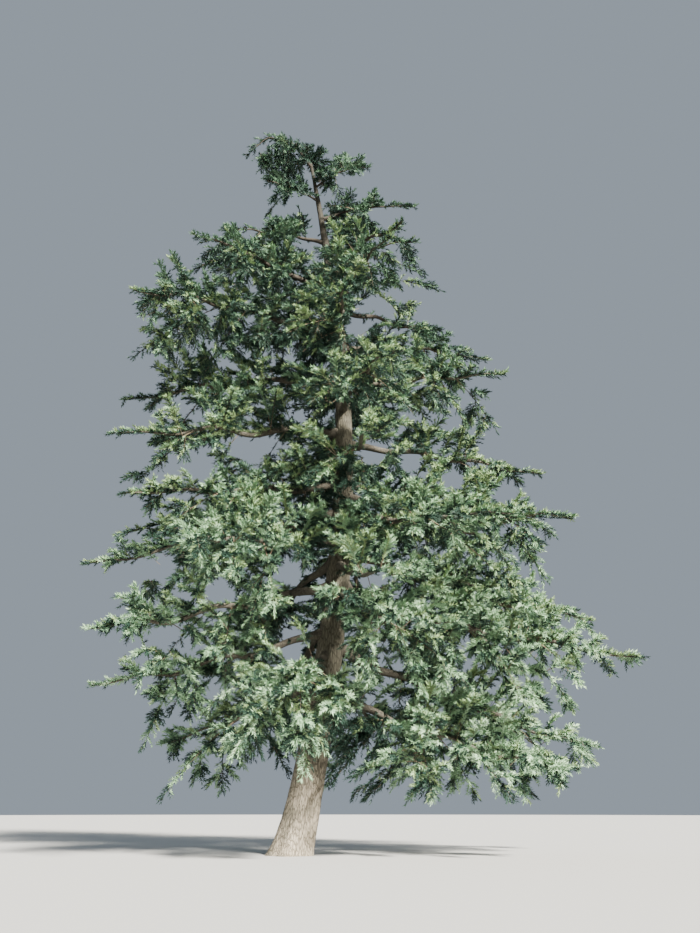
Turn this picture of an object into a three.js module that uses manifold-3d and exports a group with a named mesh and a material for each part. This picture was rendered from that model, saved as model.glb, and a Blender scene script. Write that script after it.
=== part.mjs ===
// A mature deodar cedar, 17.5 m tall: a leaning, bowed trunk with a swollen foot, the main boughs that
// show bare near it, and the layered masses of needle foliage that hang round it from head height to
// the nodding tip. Millimetres, +Z up. The origin is the centre of the flat cut at ground level, +X is
// the side that carries the longest low boughs, and the open front looks to -Y.
import * as THREE from "three";
import { mergeVertices } from "three/addons/utils/BufferGeometryUtils.js";
import Module from "manifold-3d";

const wasm = await Module();
wasm.setup();

const METRE = 1000;
const GAP = 0.3; // air between two pieces that meet
const TWIG_GAP = 6; // air between a twig and anything that it doesn't grow on

// Trunk
const TRUNK_TOP = 16.6 * METRE;
const BOW_SPAN = 17 * METRE; // height over which the trunk leans out and comes back
const BOW = 0.95 * METRE;
const SWAY = 0.16 * METRE; // the same, seen from the side
const FOOT_KICK = 0.1 * METRE; // extra lean in the lowest stretch
const FOOT_KICK_FADE = 0.6 * METRE;
const TRUNK_RADIUS = 0.36 * METRE;
const TAPER_END = 17.6 * METRE; // height at which the taper would reach nothing
const TAPER_POWER = 0.85;
const FLARE = 0.1 * METRE;
const FLARE_FADE = 0.45 * METRE;
const FLARE_LOBES = 5;
const LOBE_DEPTH = 0.09;
const TRUNK_SIDES = 12;
const TRUNK_RINGS = 15;
const RING_CROWDING = 1.45; // above 1, the rings lie closer together at the foot
const STUB = { height: 2.1, azimuth: 212, length: 0.6, radius: 0.06, rise: 0.35 }; // of a sawn-off limb

// Crown: each tier is a loose ring of limbs that leave the trunk near one height. Its reach is given to
// the right (+X), to the left (-X) and in depth, front and back, and turn is where its first limb points.
const TIERS = [
  { height: 3.25, limbs: 4, turn: -14, right: 5.2, left: 4.0, depth: 4.1 },
  { height: 4.2, limbs: 4, turn: 22, right: 6.1, left: 4.8, depth: 4.8 },
  { height: 5.2, limbs: 5, turn: -10, right: 6.3, left: 5.4, depth: 5.0 },
  { height: 6.35, limbs: 5, turn: 16, right: 6.0, left: 5.8, depth: 4.9 },
  { height: 7.55, limbs: 5, turn: -18, right: 5.1, left: 4.9, depth: 4.6 },
  { height: 8.8, limbs: 4, turn: 12, right: 4.6, left: 5.3, depth: 4.4 },
  { height: 10.1, limbs: 4, turn: -8, right: 4.2, left: 5.2, depth: 4.0 },
  { height: 11.35, limbs: 4, turn: 12, right: 3.6, left: 5.0, depth: 3.6 },
  { height: 12.3, limbs: 4, turn: 34, right: 3.3, left: 4.3, depth: 3.3 },
  { height: 13.6, limbs: 2, turn: -8, right: 2.3, left: 2.6, depth: 1.9 },
  { height: 14.8, limbs: 2, turn: 12, right: 2.4, left: 1.4, depth: 1.6 },
];
const TIER_SPREAD = 1.1 * METRE; // height over which the limbs of one tier are dealt out
const OUTLINE_POWER = 3; // 2 would make the crown's plan oval, and more makes it squarer
const BARE_TIERS = 3; // the tiers whose limbs show bare near the trunk
const BARE_SHARE = 0.27; // of such a limb's reach
const HIGH_BOUGH = "5.0"; // tier.limb of the one limb higher up that shows bare too
const SLOPE_LOW = -0.34; // rise of a tip over its reach, in the lowest tier
const SLOPE_GAIN = 0.0355 / METRE; // less fall for each step up the trunk
const ARCH_LOW = -0.05; // bulge of a limb above the straight way to its tip, over its reach
const ARCH_GAIN = 0.011 / METRE;
const HEIGHT_JITTER = 0.1 * METRE;
const TURN_JITTER = THREE.MathUtils.degToRad(7);
const SWING = THREE.MathUtils.degToRad(12); // how far a limb may curve sideways
const LIMB_GIRTH = 0.0165; // radius at the trunk over reach
const LIMB_TIP = 6;
const COLLAR = 0.4; // swelling of a limb at its root, over its radius
const COLLAR_FADE = 0.3 * METRE;
const BOUGH_SIDES = 6;
const BOUGH_RINGS = 3;
const STEM_SIDES = 3;
const STEM_RINGS = 3;
const STEM_END = 0.78; // share of the reach where the stem stops inside its end blade
const END_BLADE_FROM = 0.74; // and where that blade's rib begins

// Seeds: a limb's own is a hundred for its tier and one for its place there
const TOP_SEED = 2001;
const TWIG_SEED = 5000;
const END_SEED = 7000;

// The nodding leader above the trunk's tip, and the limb that balances it
const LEADER = { height: 16.45, azimuth: 176, reach: 1.72, slope: 0.3, arch: 0.44 };
const LEADER_TWIN = { height: 15.85, azimuth: -8, reach: 1.35, slope: 0.36, arch: 0.14 };

// Foliage: twigs leave a limb's stem to its left (1), to its right (-1) or hanging (0), in turn
const SIDES = [1, -1, 1, -1, 0];
const FAN = 0.45; // longest side twig over the limb's reach
const FAN_LEAST = 0.95 * METRE;
const FAN_MOST = 2.2 * METRE;
const TWIG_SPACING = 0.37 * METRE;
const TWIGS_LEAST = 5;
const TWIGS_END = 0.7; // share of the reach where the last twig leaves
const SPREAD_ROOT = THREE.MathUtils.degToRad(70); // angle of a side twig from its stem, by the trunk
const SPREAD_TIP = THREE.MathUtils.degToRad(38); // and at the limb's tip
const DIP = 0.3; // how steeply a side twig leaves downwards
const DIP_JITTER = 0.45;
const HANG_LENGTH = 0.7; // of a hanging twig over a side twig
const HANG_DIP = 1.5; // and how steeply it leaves
const HANG_TURN = THREE.MathUtils.degToRad(25); // how far it may turn out of its limb's plane
const TWIG_SAG = 0.3; // fall over length at a twig's tip
const BLADE_WIDTH = 0.37; // half width over length
const BLADE_WIDTH_MOST = 0.55 * METRE;
const BLADE_THICK = 0.01; // half thickness over length
const BLADE_MIDDLE = 0.47; // where the rib bends, over length
const NECK_WIDTH = 0.13; // half width where a blade comes clear of its stem, over that at a tooth
const NECK_CLEAR = 1.15; // distance of that place from the stem's heart over the stem's radius
const NECK_LEAST = 0.06; // or over the blade's length where that is more
const VALLEY = 0.33; // half width between two teeth, over that at a tooth
const END_ROLL = 0.8; // how far the end blade may be tilted to either side
const SHRINKING = [1, 0.8, 0.64, 0.5]; // lengths that a twig tries before it is given up
const SPACE_DROP = 0.4 * METRE; // how far the space of each limb hangs below it
const HEADROOM = 1.0 * METRE; // no foliage hangs lower than this
const LONG_TWIG = 1.6 * METRE; // from this length on, a twig carries three pairs of teeth and not two

const BARK = new THREE.MeshStandardMaterial({ color: 0x8d8272, roughness: 0.95, metalness: 0 });
const BOUGH_BARK = new THREE.MeshStandardMaterial({ color: 0x776c5e, roughness: 0.95, metalness: 0 });
const NEEDLES = new THREE.MeshStandardMaterial({ color: 0x6f8a74, roughness: 0.8, metalness: 0 });

const UP = new THREE.Vector3(0, 0, 1);

// A seeded stream of numbers from 0 to 1, so that every build grows the same tree.
function seeded(seed) {
  let state = 1 + ((seed * 104729) % 2147483646);
  const draw = () => (state = (state * 48271) % 2147483647) / 2147483647;
  for (let skipped = 0; skipped < 3; skipped++) draw();
  return draw;
}

function trunkAxis(z) {
  const kick = FOOT_KICK * (1 - Math.exp(-z / FOOT_KICK_FADE));
  const x = BOW * Math.sin((Math.PI * z) / BOW_SPAN) + kick;
  return new THREE.Vector3(x, SWAY * Math.sin((1.4 * Math.PI * z) / BOW_SPAN), z);
}

function trunkRadius(z) {
  return TRUNK_RADIUS * Math.pow(1 - z / TAPER_END, TAPER_POWER) + FLARE * Math.exp(-z / FLARE_FADE);
}

// A cylinder whose points are put in place one by one: place gets the share of the length, and the
// point of the unit circle, across and up.
function swept(sides, rings, place) {
  const geometry = new THREE.CylinderGeometry(1, 1, 1, sides, rings);
  const points = geometry.getAttribute("position");
  for (let i = 0; i < points.count; i++) {
    const p = place(points.getY(i) + 0.5, points.getX(i), points.getZ(i));
    points.setXYZ(i, p.x, p.y, p.z);
  }
  return geometry;
}

function solidOf(geometry) {
  const bare = geometry.clone().deleteAttribute("normal");
  if (bare.getAttribute("uv")) bare.deleteAttribute("uv");
  const merged = mergeVertices(bare, 1e-2);
  return new wasm.Manifold(
    new wasm.Mesh({
      numProp: 3,
      vertProperties: new Float32Array(merged.attributes.position.array),
      triVerts: new Uint32Array(merged.index.array),
    }),
  );
}

function geometryOf(solid) {
  const mesh = solid.getMesh();
  const geometry = new THREE.BufferGeometry();
  geometry.setAttribute("position", new THREE.BufferAttribute(mesh.vertProperties, 3));
  geometry.setIndex(new THREE.BufferAttribute(mesh.triVerts, 1));
  geometry.computeVertexNormals();
  return geometry;
}

// The trunk in level rings, close together at the foot. Grown makes it that much fatter and taller, to
// cut the roots of the limbs clear of it.
function trunkGeometry(grown) {
  return swept(TRUNK_SIDES, TRUNK_RINGS, (share, x, y) => {
    const z = (TRUNK_TOP + grown) * Math.pow(share, RING_CROWDING);
    const turn = Math.atan2(x, y);
    const lobes = 1 + LOBE_DEPTH * Math.cos(FLARE_LOBES * turn + 0.6) * Math.exp(-z / FLARE_FADE);
    const onAxis = Math.hypot(x, y) < 0.5;
    const radius = onAxis ? 0 : trunkRadius(z) * lobes + grown;
    return trunkAxis(z).add(new THREE.Vector3(Math.sin(turn), -Math.cos(turn), 0).multiplyScalar(radius));
  });
}

// One limb: its line from the trunk's heart to its tip, and its thickness along that.
class Limb {
  constructor({ height, azimuth, reach, slope, arch, swing, bare, seed }) {
    Object.assign(this, { height, azimuth, reach, slope, arch, swing, bare, seed });
    this.root = trunkAxis(height);
    this.girth = LIMB_GIRTH * reach;
    this.line = [0, 0.2, 0.4, 0.6, 0.8, 1].map((share) => this.at(share));
  }

  at(share) {
    const bearing = this.azimuth + this.swing * share;
    const climb = this.slope * share + 4 * this.arch * share * (1 - share);
    return new THREE.Vector3(Math.cos(bearing) * share, Math.sin(bearing) * share, climb)
      .multiplyScalar(this.reach)
      .add(this.root);
  }

  heading(share) {
    const step = 0.01;
    return this.at(share + step).sub(this.at(share - step)).normalize();
  }

  radius(share) {
    const out = this.reach * share - trunkRadius(this.height);
    const collar = COLLAR * this.girth * Math.exp(-Math.max(0, out) / COLLAR_FADE);
    return (this.girth - LIMB_TIP) * Math.pow(1 - share, 0.8) + LIMB_TIP + collar;
  }

  distance(point) {
    const near = new THREE.Vector3();
    const toStretch = (from, i) =>
      new THREE.Line3(from, this.line[i + 1]).closestPointToPoint(point, true, near).distanceTo(point);
    return Math.min(...this.line.slice(0, -1).map(toStretch));
  }

  // The stretch between two shares of the reach, as a tapering tube. Ahead moves its first ring on
  // along the line, which keeps the face clear of the piece before it.
  tube(from, to, sides, rings, ahead = 0) {
    return swept(sides, rings, (along, x, y) => {
      const share = from + (to - from) * along;
      const heading = this.heading(share);
      const side = new THREE.Vector3().crossVectors(heading, UP).normalize();
      const over = new THREE.Vector3().crossVectors(side, heading);
      const shift = ahead * (1 - along);
      return this.at(share)
        .addScaledVector(side, x * this.radius(share))
        .addScaledVector(over, y * this.radius(share))
        .addScaledVector(heading, shift);
    });
  }
}

function reachOf(tier, azimuth) {
  const across = Math.cos(azimuth);
  const side = across > 0 ? tier.right : tier.left;
  const sideways = Math.pow(Math.abs(across) / side, OUTLINE_POWER);
  const inDepth = Math.pow(Math.abs(Math.sin(azimuth)) / tier.depth, OUTLINE_POWER);
  return METRE * Math.pow(sideways + inDepth, -1 / OUTLINE_POWER);
}

// Every limb of the crown, from the ground up.
function growLimbs() {
  const limbs = [];
  TIERS.forEach((tier, level) => {
    for (let i = 0; i < tier.limbs; i++) {
      const seed = 100 * (level + 1) + i;
      const draw = seeded(seed);
      const spread = (2 * draw() - 1) * TURN_JITTER;
      const azimuth = THREE.MathUtils.degToRad(tier.turn + (360 * i) / tier.limbs) + spread;
      const rank = ((2 * i) % tier.limbs) + (tier.limbs % 2 || i < tier.limbs / 2 ? 0 : 1);
      const lift = (TIER_SPREAD * rank) / tier.limbs + (2 * draw() - 1) * HEIGHT_JITTER;
      const height = tier.height * METRE + lift;
      const shows = level < BARE_TIERS || HIGH_BOUGH === `${level}.${i}`;
      const up = height - TIERS[0].height * METRE;
      limbs.push(
        new Limb({
          height,
          azimuth,
          reach: reachOf(tier, azimuth) * (0.95 + 0.1 * draw()),
          slope: SLOPE_LOW + SLOPE_GAIN * up + 0.04 * (2 * draw() - 1),
          arch: ARCH_LOW + ARCH_GAIN * up + 0.02 * draw(),
          swing: (2 * draw() - 1) * SWING,
          bare: shows ? BARE_SHARE : 0,
          seed,
        }),
      );
    }
  });
  [LEADER_TWIN, LEADER].forEach((top, i) =>
    limbs.push(
      new Limb({
        ...top,
        height: top.height * METRE,
        azimuth: THREE.MathUtils.degToRad(top.azimuth),
        reach: top.reach * METRE,
        swing: 0,
        bare: 0,
        seed: TOP_SEED + i,
      }),
    ),
  );
  return limbs;
}

// A toothed blade along +X: one twig and its sprays of needles. Its root is a thin pyramid that starts
// in the stem's heart and is clear of it at the neck. From there the rib runs over a middle point to the
// tip, above and below, and the edge zigzags between teeth and the valleys behind them, with the two
// sides half a tooth out of step.
function bladeGeometry(length, width, thick, neck, pairs) {
  const points = [
    [0, 0, 0],
    [neck, 0, thick],
    [neck, 0, -thick],
    [BLADE_MIDDLE * length, 0, thick * 0.8],
    [BLADE_MIDDLE * length, 0, -thick * 0.8],
    [length, 0, 0],
  ];
  const [root, neckTop, neckUnder, midTop, midUnder, tip] = [0, 1, 2, 3, 4, 5];
  const faces = [];
  const pitch = 1 / (pairs + 0.35);
  for (const side of [1, -1]) {
    const face = (a, b, c) => faces.push(...(side > 0 ? [a, b, c] : [a, c, b]));
    const early = side > 0 ? 0 : 0.38 * pitch;
    const edge = [points.push([neck, side * width * NECK_WIDTH, 0]) - 1];
    for (let i = 0; i < pairs; i++) {
      const valley = i ? (i + 0.25) * pitch - early : neck / length - early;
      if (i) edge.push(points.push([valley * length, side * width * VALLEY, 0]) - 1);
      const tooth = valley + 0.95 * pitch;
      const swell = Math.sin(Math.PI * (0.2 + 0.68 * Math.min(tooth, 1)));
      edge.push(points.push([tooth * length, side * width * swell, 0]) - 1);
    }
    edge.push(tip);
    face(root, neckTop, edge[0]);
    face(root, edge[0], neckUnder);
    edge.slice(0, -1).forEach((from, i) => {
      const hub = i < 2 ? [neckTop, neckUnder] : [midTop, midUnder];
      face(hub[0], edge[i + 1], from);
      face(hub[1], from, edge[i + 1]);
    });
    face(neckTop, midTop, edge[2]);
    face(neckUnder, edge[2], midUnder);
  }
  const geometry = new THREE.BufferGeometry();
  geometry.setAttribute("position", new THREE.Float32BufferAttribute(points.flat(), 3));
  geometry.setIndex(faces);
  geometry.computeVertexNormals();
  return geometry;
}

// Lays a blade from a root along a direction, rolled about it, with its outer part sagging.
function laidBlade({ root, along, roll, length, neck, pairs }) {
  const width = Math.min(BLADE_WIDTH * length, BLADE_WIDTH_MOST);
  const geometry = bladeGeometry(length, width, BLADE_THICK * length, neck, pairs);
  const across = new THREE.Vector3().crossVectors(UP, along).normalize();
  const over = new THREE.Vector3().crossVectors(along, across);
  const place = new THREE.Matrix4()
    .makeBasis(along, across, over)
    .multiply(new THREE.Matrix4().makeRotationX(roll));
  geometry.applyMatrix4(place);
  const points = geometry.getAttribute("position");
  for (let i = 0; i < points.count; i++) {
    const p = new THREE.Vector3().fromBufferAttribute(points, i);
    const share = Math.max(0, p.dot(along)) / length;
    p.z -= TWIG_SAG * length * share * share;
    p.add(root);
    points.setXYZ(i, p.x, p.y, p.z);
  }
  return geometry;
}

// The twigs of a limb, by its seed: where each leaves the stem, which way, and how long it is.
function twigsOf(limb) {
  const draw = seeded(limb.seed + TWIG_SEED);
  const from = Math.max(limb.bare + 0.03, 0.14);
  const span = limb.reach * (TWIGS_END - from);
  const count = Math.max(TWIGS_LEAST, Math.round(span / TWIG_SPACING));
  const longest = THREE.MathUtils.clamp(FAN * limb.reach, FAN_LEAST, FAN_MOST);
  const twigs = [];
  for (let i = 0; i < count; i++) {
    const along = (i + 0.5 + 0.3 * (draw() - 0.5)) / count;
    const share = from + (TWIGS_END - from) * along;
    const side = SIDES[i % SIDES.length];
    const spread = side * THREE.MathUtils.lerp(SPREAD_ROOT, SPREAD_TIP, along) * (0.9 + 0.2 * draw());
    const heading = limb.heading(share).setZ(0).normalize().applyAxisAngle(UP, spread);
    heading.z = side ? -DIP - DIP_JITTER * draw() : -HANG_DIP * (0.7 + 0.6 * draw());
    const swell = 0.45 + 0.55 * Math.sin(Math.PI * (0.15 + 0.72 * along));
    const length = longest * swell * (0.88 + 0.24 * draw()) * (side ? 1 : HANG_LENGTH);
    const lean = 2 * draw() - 1;
    const roll = side ? side * (0.5 + 0.3 * lean) : Math.PI / 2 + HANG_TURN * lean;
    const neck = Math.max(NECK_CLEAR * limb.radius(share), NECK_LEAST * length);
    twigs.push({ root: limb.at(share), along: heading.normalize(), roll, length, neck });
  }
  return twigs;
}

function endTwigOf(limb) {
  const root = limb.at(END_BLADE_FROM);
  const toTip = limb.at(1).sub(root);
  toTip.z += TWIG_SAG * toTip.length();
  const length = toTip.length();
  const neck = 1.3 * (STEM_END - END_BLADE_FROM) * limb.reach;
  const roll = END_ROLL * (2 * seeded(limb.seed + END_SEED)() - 1);
  return { root, along: toTip.normalize(), roll, length, neck };
}

// A mass keeps to its own space: every point of it, raised by the drop of the spaces, is nearer to its
// own limb than to any other, and leaves headroom.
function insideSpace(geometry, limb, limbs) {
  const points = geometry.getAttribute("position");
  for (let i = 0; i < points.count; i++) {
    const p = new THREE.Vector3().fromBufferAttribute(points, i);
    if (p.z < HEADROOM) return false;
    p.z += SPACE_DROP;
    const own = limb.distance(p);
    if (limbs.some((other) => other !== limb && other.distance(p) < own)) return false;
  }
  return true;
}

function boxesMeet(a, b) {
  return [0, 1, 2].every((k) => a.min[k] < b.max[k] + TWIG_GAP && b.min[k] < a.max[k] + TWIG_GAP);
}

// What a saw left of a limb low on the trunk, with its root sunk in.
function stubGeometry() {
  const root = trunkAxis(STUB.height * METRE);
  const azimuth = THREE.MathUtils.degToRad(STUB.azimuth);
  const along = new THREE.Vector3(Math.cos(azimuth), Math.sin(azimuth), STUB.rise).normalize();
  const side = new THREE.Vector3().crossVectors(along, UP).normalize();
  const over = new THREE.Vector3().crossVectors(side, along);
  const radius = STUB.radius * METRE;
  return swept(8, 1, (share, x, y) =>
    root
      .clone()
      .addScaledVector(along, share * STUB.length * METRE)
      .addScaledVector(side, x * radius * (1.25 - 0.25 * share))
      .addScaledVector(over, y * radius * (1.25 - 0.25 * share)),
  );
}

const trunk = solidOf(trunkGeometry(0)).add(solidOf(stubGeometry()));
const trunkCutter = solidOf(trunkGeometry(GAP + 0.1));
const limbs = growLimbs();

// What stands already, with the limb that each solid belongs to, so that no twig grows into another's.
const standing = [{ owner: trunk, solid: trunk, box: trunk.boundingBox() }];
const stand = (owner, solid) => standing.push({ owner, solid, box: solid.boundingBox() });

const boughs = limbs.map((limb) => {
  if (!limb.bare) return null;
  const solid = solidOf(limb.tube(0, limb.bare, BOUGH_SIDES, BOUGH_RINGS)).subtract(trunkCutter);
  stand("bough", solid);
  return solid;
});
const stems = limbs.map((limb) => {
  const tube = solidOf(limb.tube(limb.bare, STEM_END, STEM_SIDES, STEM_RINGS, limb.bare ? GAP : 0));
  const solid = limb.bare ? tube : tube.subtract(trunkCutter);
  stand(limb, solid);
  return solid;
});

function clearOfOthers(solid, limb) {
  const box = solid.boundingBox();
  return standing.every(
    (it) => it.owner === limb || !boxesMeet(it.box, box) || it.solid.minGap(solid, TWIG_GAP) >= TWIG_GAP,
  );
}

// Grows one twig, shorter each time that it would leave its space or touch something.
function growTwig(twig, limb) {
  for (const share of SHRINKING) {
    const length = twig.length * share;
    const pairs = length > LONG_TWIG ? 3 : 2;
    const geometry = laidBlade({ ...twig, length, pairs });
    if (!insideSpace(geometry, limb, limbs)) continue;
    const solid = solidOf(geometry);
    if (clearOfOthers(solid, limb)) return solid;
  }
  return null;
}

const masses = limbs.map((limb, i) => {
  const blades = [endTwigOf(limb), ...twigsOf(limb)].map((twig) => {
    const solid = growTwig(twig, limb);
    if (solid) stand(limb, solid);
    return solid;
  });
  const fused = blades.filter(Boolean).reduce((whole, blade) => whole.add(blade), stems[i]);
  return fused.decompose().sort((a, b) => b.volume() - a.volume())[0];
});

const tree = new THREE.Group();
tree.name = "deodar_cedar";

function addPiece(name, solid, material) {
  const mesh = new THREE.Mesh(geometryOf(solid), material);
  mesh.name = name;
  tree.add(mesh);
}

const numbered = (word, i) => `${word}_${String(i + 1).padStart(2, "0")}`;
addPiece("trunk", trunk, BARK);
boughs.filter(Boolean).forEach((solid, i) => addPiece(numbered("bough", i), solid, BOUGH_BARK));
masses.forEach((solid, i) => addPiece(numbered("foliage", i), solid, NEEDLES));

export default tree;
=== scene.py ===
"""A mature deodar cedar, 17.5 m tall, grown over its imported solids.

The trunk and the limbs follow the sizes and seeds of the part's own source, in metres. Each mass of
foliage is grown again on its limb by the same rule of twigs, carried on to clumps of finer twigs,
and the needles stand on those in whorls. +Z is up, +X the side of the longest low boughs, and the
open front looks to -Y.
"""

import logging
import math
from collections.abc import Callable, Iterable, Iterator
from dataclasses import dataclass, field
from enum import Enum
from functools import partial

import bmesh
import bpy
import numpy as np
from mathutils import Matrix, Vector, noise


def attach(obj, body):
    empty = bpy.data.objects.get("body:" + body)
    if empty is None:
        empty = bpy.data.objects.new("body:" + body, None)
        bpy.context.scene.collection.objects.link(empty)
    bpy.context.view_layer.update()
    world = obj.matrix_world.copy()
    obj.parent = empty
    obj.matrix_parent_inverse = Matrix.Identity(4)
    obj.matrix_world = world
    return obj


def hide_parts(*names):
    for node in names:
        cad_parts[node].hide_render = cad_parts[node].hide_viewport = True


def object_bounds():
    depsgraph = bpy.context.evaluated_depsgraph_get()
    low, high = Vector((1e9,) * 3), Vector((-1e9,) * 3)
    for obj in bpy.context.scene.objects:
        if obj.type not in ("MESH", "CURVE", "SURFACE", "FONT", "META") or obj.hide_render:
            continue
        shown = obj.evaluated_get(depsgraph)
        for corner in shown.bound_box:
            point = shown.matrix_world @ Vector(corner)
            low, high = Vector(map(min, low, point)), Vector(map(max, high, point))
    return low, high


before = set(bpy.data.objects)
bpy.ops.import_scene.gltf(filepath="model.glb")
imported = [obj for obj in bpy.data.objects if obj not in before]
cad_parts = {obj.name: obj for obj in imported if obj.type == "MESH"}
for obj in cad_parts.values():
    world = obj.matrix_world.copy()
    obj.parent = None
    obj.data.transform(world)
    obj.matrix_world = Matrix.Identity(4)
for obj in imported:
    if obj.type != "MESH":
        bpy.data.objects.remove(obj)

PACKED_LOW, PACKED_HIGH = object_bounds()
BODY = "root"
UP = Vector((0.0, 0.0, 1.0))
UPWARDS = np.array([0.0, 0.0, 1.0])
TINY = 1e-6
LEAST_LENGTH = 1e-9

log = logging.getLogger("cedar")

Socket = bpy.types.NodeSocket
Row = tuple[float, ...]
Pair = tuple[float, float]
Spot = tuple[float, float, float]
Colour = tuple[float, float, float]
Chunk = tuple[slice, np.ndarray, np.ndarray]
Place = Callable[[float, float, float], Vector]


class Slot(Enum):
    """The record's material slots."""

    TRUNK = "trunk_bark"
    BOUGH = "bough_bark"
    NEEDLES = "needles"


class Band(Enum):
    """The part of the crown that a mass belongs to, with the last tier of limbs in it."""

    LOW = ("low", 2)
    MIDDLE = ("middle", 5)
    UPPER = ("upper", 99)

    @property
    def word(self) -> str:
        """The band's name in the names of pieces."""
        return self.value[0]

    @property
    def last_tier(self) -> int:
        """The highest tier of limbs that belongs to the band."""
        return self.value[1]


class Tint(Enum):
    """The colours that a spray of needles can have, with the base colour of each; the darkest is
    painted shade.
    """

    FROSTED = ("frosted", (0.310, 0.460, 0.292))
    GLAUCOUS = ("glaucous", (0.190, 0.318, 0.180))
    GREEN = ("green", (0.070, 0.135, 0.078))
    OLIVE = ("olive", (0.185, 0.272, 0.122))
    # Painted shade: this near-black green goes to sprays inside the crown and under the clumps, for
    # the shade that falls there.
    PAINTED_SHADE = ("deep", (0.012, 0.034, 0.022))

    @property
    def word(self) -> str:
        """The tint's name in the names of pieces."""
        return self.value[0]

    @property
    def colour(self) -> Colour:
        """The base colour, linear."""
        return self.value[1]


def unit(vectors: np.ndarray) -> np.ndarray:
    """Scales vectors to length one.

    Args:
        vectors: any number of vectors, in the last axis.

    Returns:
        The same vectors, each of length one.
    """
    return vectors / np.maximum(np.linalg.norm(vectors, axis=-1, keepdims=True), LEAST_LENGTH)


def sides_of(headings: np.ndarray) -> tuple[np.ndarray, np.ndarray]:
    """Finds the level direction to the side of headings, and the one square to both.

    Args:
        headings: directions of length one.

    Returns:
        The two directions for each.
    """
    level = unit(np.cross(headings, UPWARDS) + TINY)
    return level, np.cross(level, headings)


def mix(start: float, end: float, share: float | np.ndarray) -> float | np.ndarray:
    """Goes from start to end by a share, or by many at once.

    Args:
        start: the value at 0.
        end: the value at 1.
        share: how far between them.

    Returns:
        The value there.
    """
    return start + (end - start) * share


def rising(line: Pair, share: float | np.ndarray) -> float | np.ndarray:
    """Follows a straight line.

    Args:
        line: its height at 0, and how much it rises from there to 1.
        share: how far along it.

    Returns:
        The height there.
    """
    return line[0] + line[1] * share


class Stream:
    """A seeded stream of numbers from 0 to 1, the same one as in the part's source."""

    MODULUS = 2147483647
    MULTIPLIER = 48271
    SEED_STEP = 104729
    WARM_UP = 3

    def __init__(self, seed: int) -> None:
        """Starts the stream.

        Args:
            seed: a whole number that names it.
        """
        self.state = 1 + (seed * self.SEED_STEP) % (self.MODULUS - 1)
        for _ in range(self.WARM_UP):
            self.draw()

    def draw(self) -> float:
        """Returns the next number."""
        self.state = (self.state * self.MULTIPLIER) % self.MODULUS
        return self.state / self.MODULUS

    def either_way(self) -> float:
        """Returns the next number, spread from -1 to 1."""
        return 2 * self.draw() - 1


@dataclass(frozen=True)
class TrunkForm:
    """The trunk's line, its taper and its swollen foot."""

    top: float = 16.6
    bow_span: float = 17.0
    bow: float = 0.95
    sway: float = 0.16
    sway_waves: float = 1.4
    foot_kick: float = 0.1
    foot_kick_fade: float = 0.6
    girth: float = 0.36
    taper_end: float = 17.6
    taper_power: float = 0.85
    flare: float = 0.1
    flare_fade: float = 0.45
    flare_lobes: int = 5
    lobe_depth: float = 0.09
    lobe_turn: float = 0.6

    def axis(self, height: float) -> Vector:
        """Finds the trunk's heart.

        Args:
            height: metres above the ground.

        Returns:
            The point there.
        """
        kick = self.foot_kick * (1 - math.exp(-height / self.foot_kick_fade))
        across = self.bow * math.sin(math.pi * height / self.bow_span) + kick
        deep = self.sway * math.sin(self.sway_waves * math.pi * height / self.bow_span)
        return Vector((across, deep, height))

    def radius(self, height: float) -> float:
        """Returns the radius at a height, without the lobes of the foot."""
        taper = self.girth * (1 - height / self.taper_end) ** self.taper_power
        return taper + self.flare * math.exp(-height / self.flare_fade)

    def lobes(self, turn: float, height: float) -> float:
        """Returns how far the root flare swells or hollows the foot, as a factor on the radius."""
        fade = math.exp(-height / self.flare_fade)
        return 1 + self.lobe_depth * math.cos(self.flare_lobes * turn + self.lobe_turn) * fade


TRUNK = TrunkForm()


@dataclass
class Limb:
    """One limb: its line from the trunk's heart to its tip, and its thickness along that."""

    height: float
    azimuth: float
    reach: float
    slope: float
    arch: float
    seed: int
    swing: float = 0.0
    bare: float = 0.0
    end: float = 1.0
    tier: int = 0
    root: Vector = field(init=False)
    girth: float = field(init=False)

    GIRTH = 0.0165
    TIP = 0.006
    TAPER_POWER = 0.8
    COLLAR = 0.4
    COLLAR_FADE = 0.3
    STRETCHES = 5
    WANDER = 0.027
    WAVES = 2.3
    HEAVE = 0.6
    HEAVE_WAVES = 1.3
    NUDGE = 0.01

    def __post_init__(self) -> None:
        """Works out where the limb starts and how thick it is there."""
        self.root = TRUNK.axis(self.height)
        self.girth = self.GIRTH * self.reach

    @property
    def band(self) -> Band:
        """The part of the crown that the limb belongs to."""
        return next(band for band in Band if self.tier <= band.last_tier)

    def at(self, share: float) -> Vector:
        """Finds a point of the limb's line.

        Args:
            share: how far along its reach.

        Returns:
            The point.
        """
        loose = 4 * share * (1 - share)
        turns = 2 * math.pi * self.WAVES * share + self.seed
        bearing = self.azimuth + self.swing * share + self.WANDER * loose * math.sin(turns)
        heave = self.HEAVE * self.WANDER * loose * math.sin(self.HEAVE_WAVES * turns)
        climb = self.slope * share + self.arch * loose + heave
        level = Vector((math.cos(bearing) * share, math.sin(bearing) * share, climb))
        return level * self.reach + self.root

    def heading(self, share: float) -> Vector:
        """Returns which way the limb runs at a share of its reach, as a direction of length one."""
        return (self.at(share + self.NUDGE) - self.at(share - self.NUDGE)).normalized()

    def radius(self, share: float) -> float:
        """Finds the limb's radius.

        Args:
            share: how far along its reach.

        Returns:
            The radius there, with the swelling at its root.
        """
        out = self.reach * share - TRUNK.radius(self.height)
        collar = self.COLLAR * self.girth * math.exp(-max(0.0, out) / self.COLLAR_FADE)
        taper = max(0.0, 1 - share) ** self.TAPER_POWER
        return (self.girth - self.TIP) * taper + self.TIP + collar

    def line(self) -> np.ndarray:
        """Returns the points that the space round the limb is measured from."""
        return np.array([self.at(i / self.STRETCHES) for i in range(self.STRETCHES + 1)])


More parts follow.
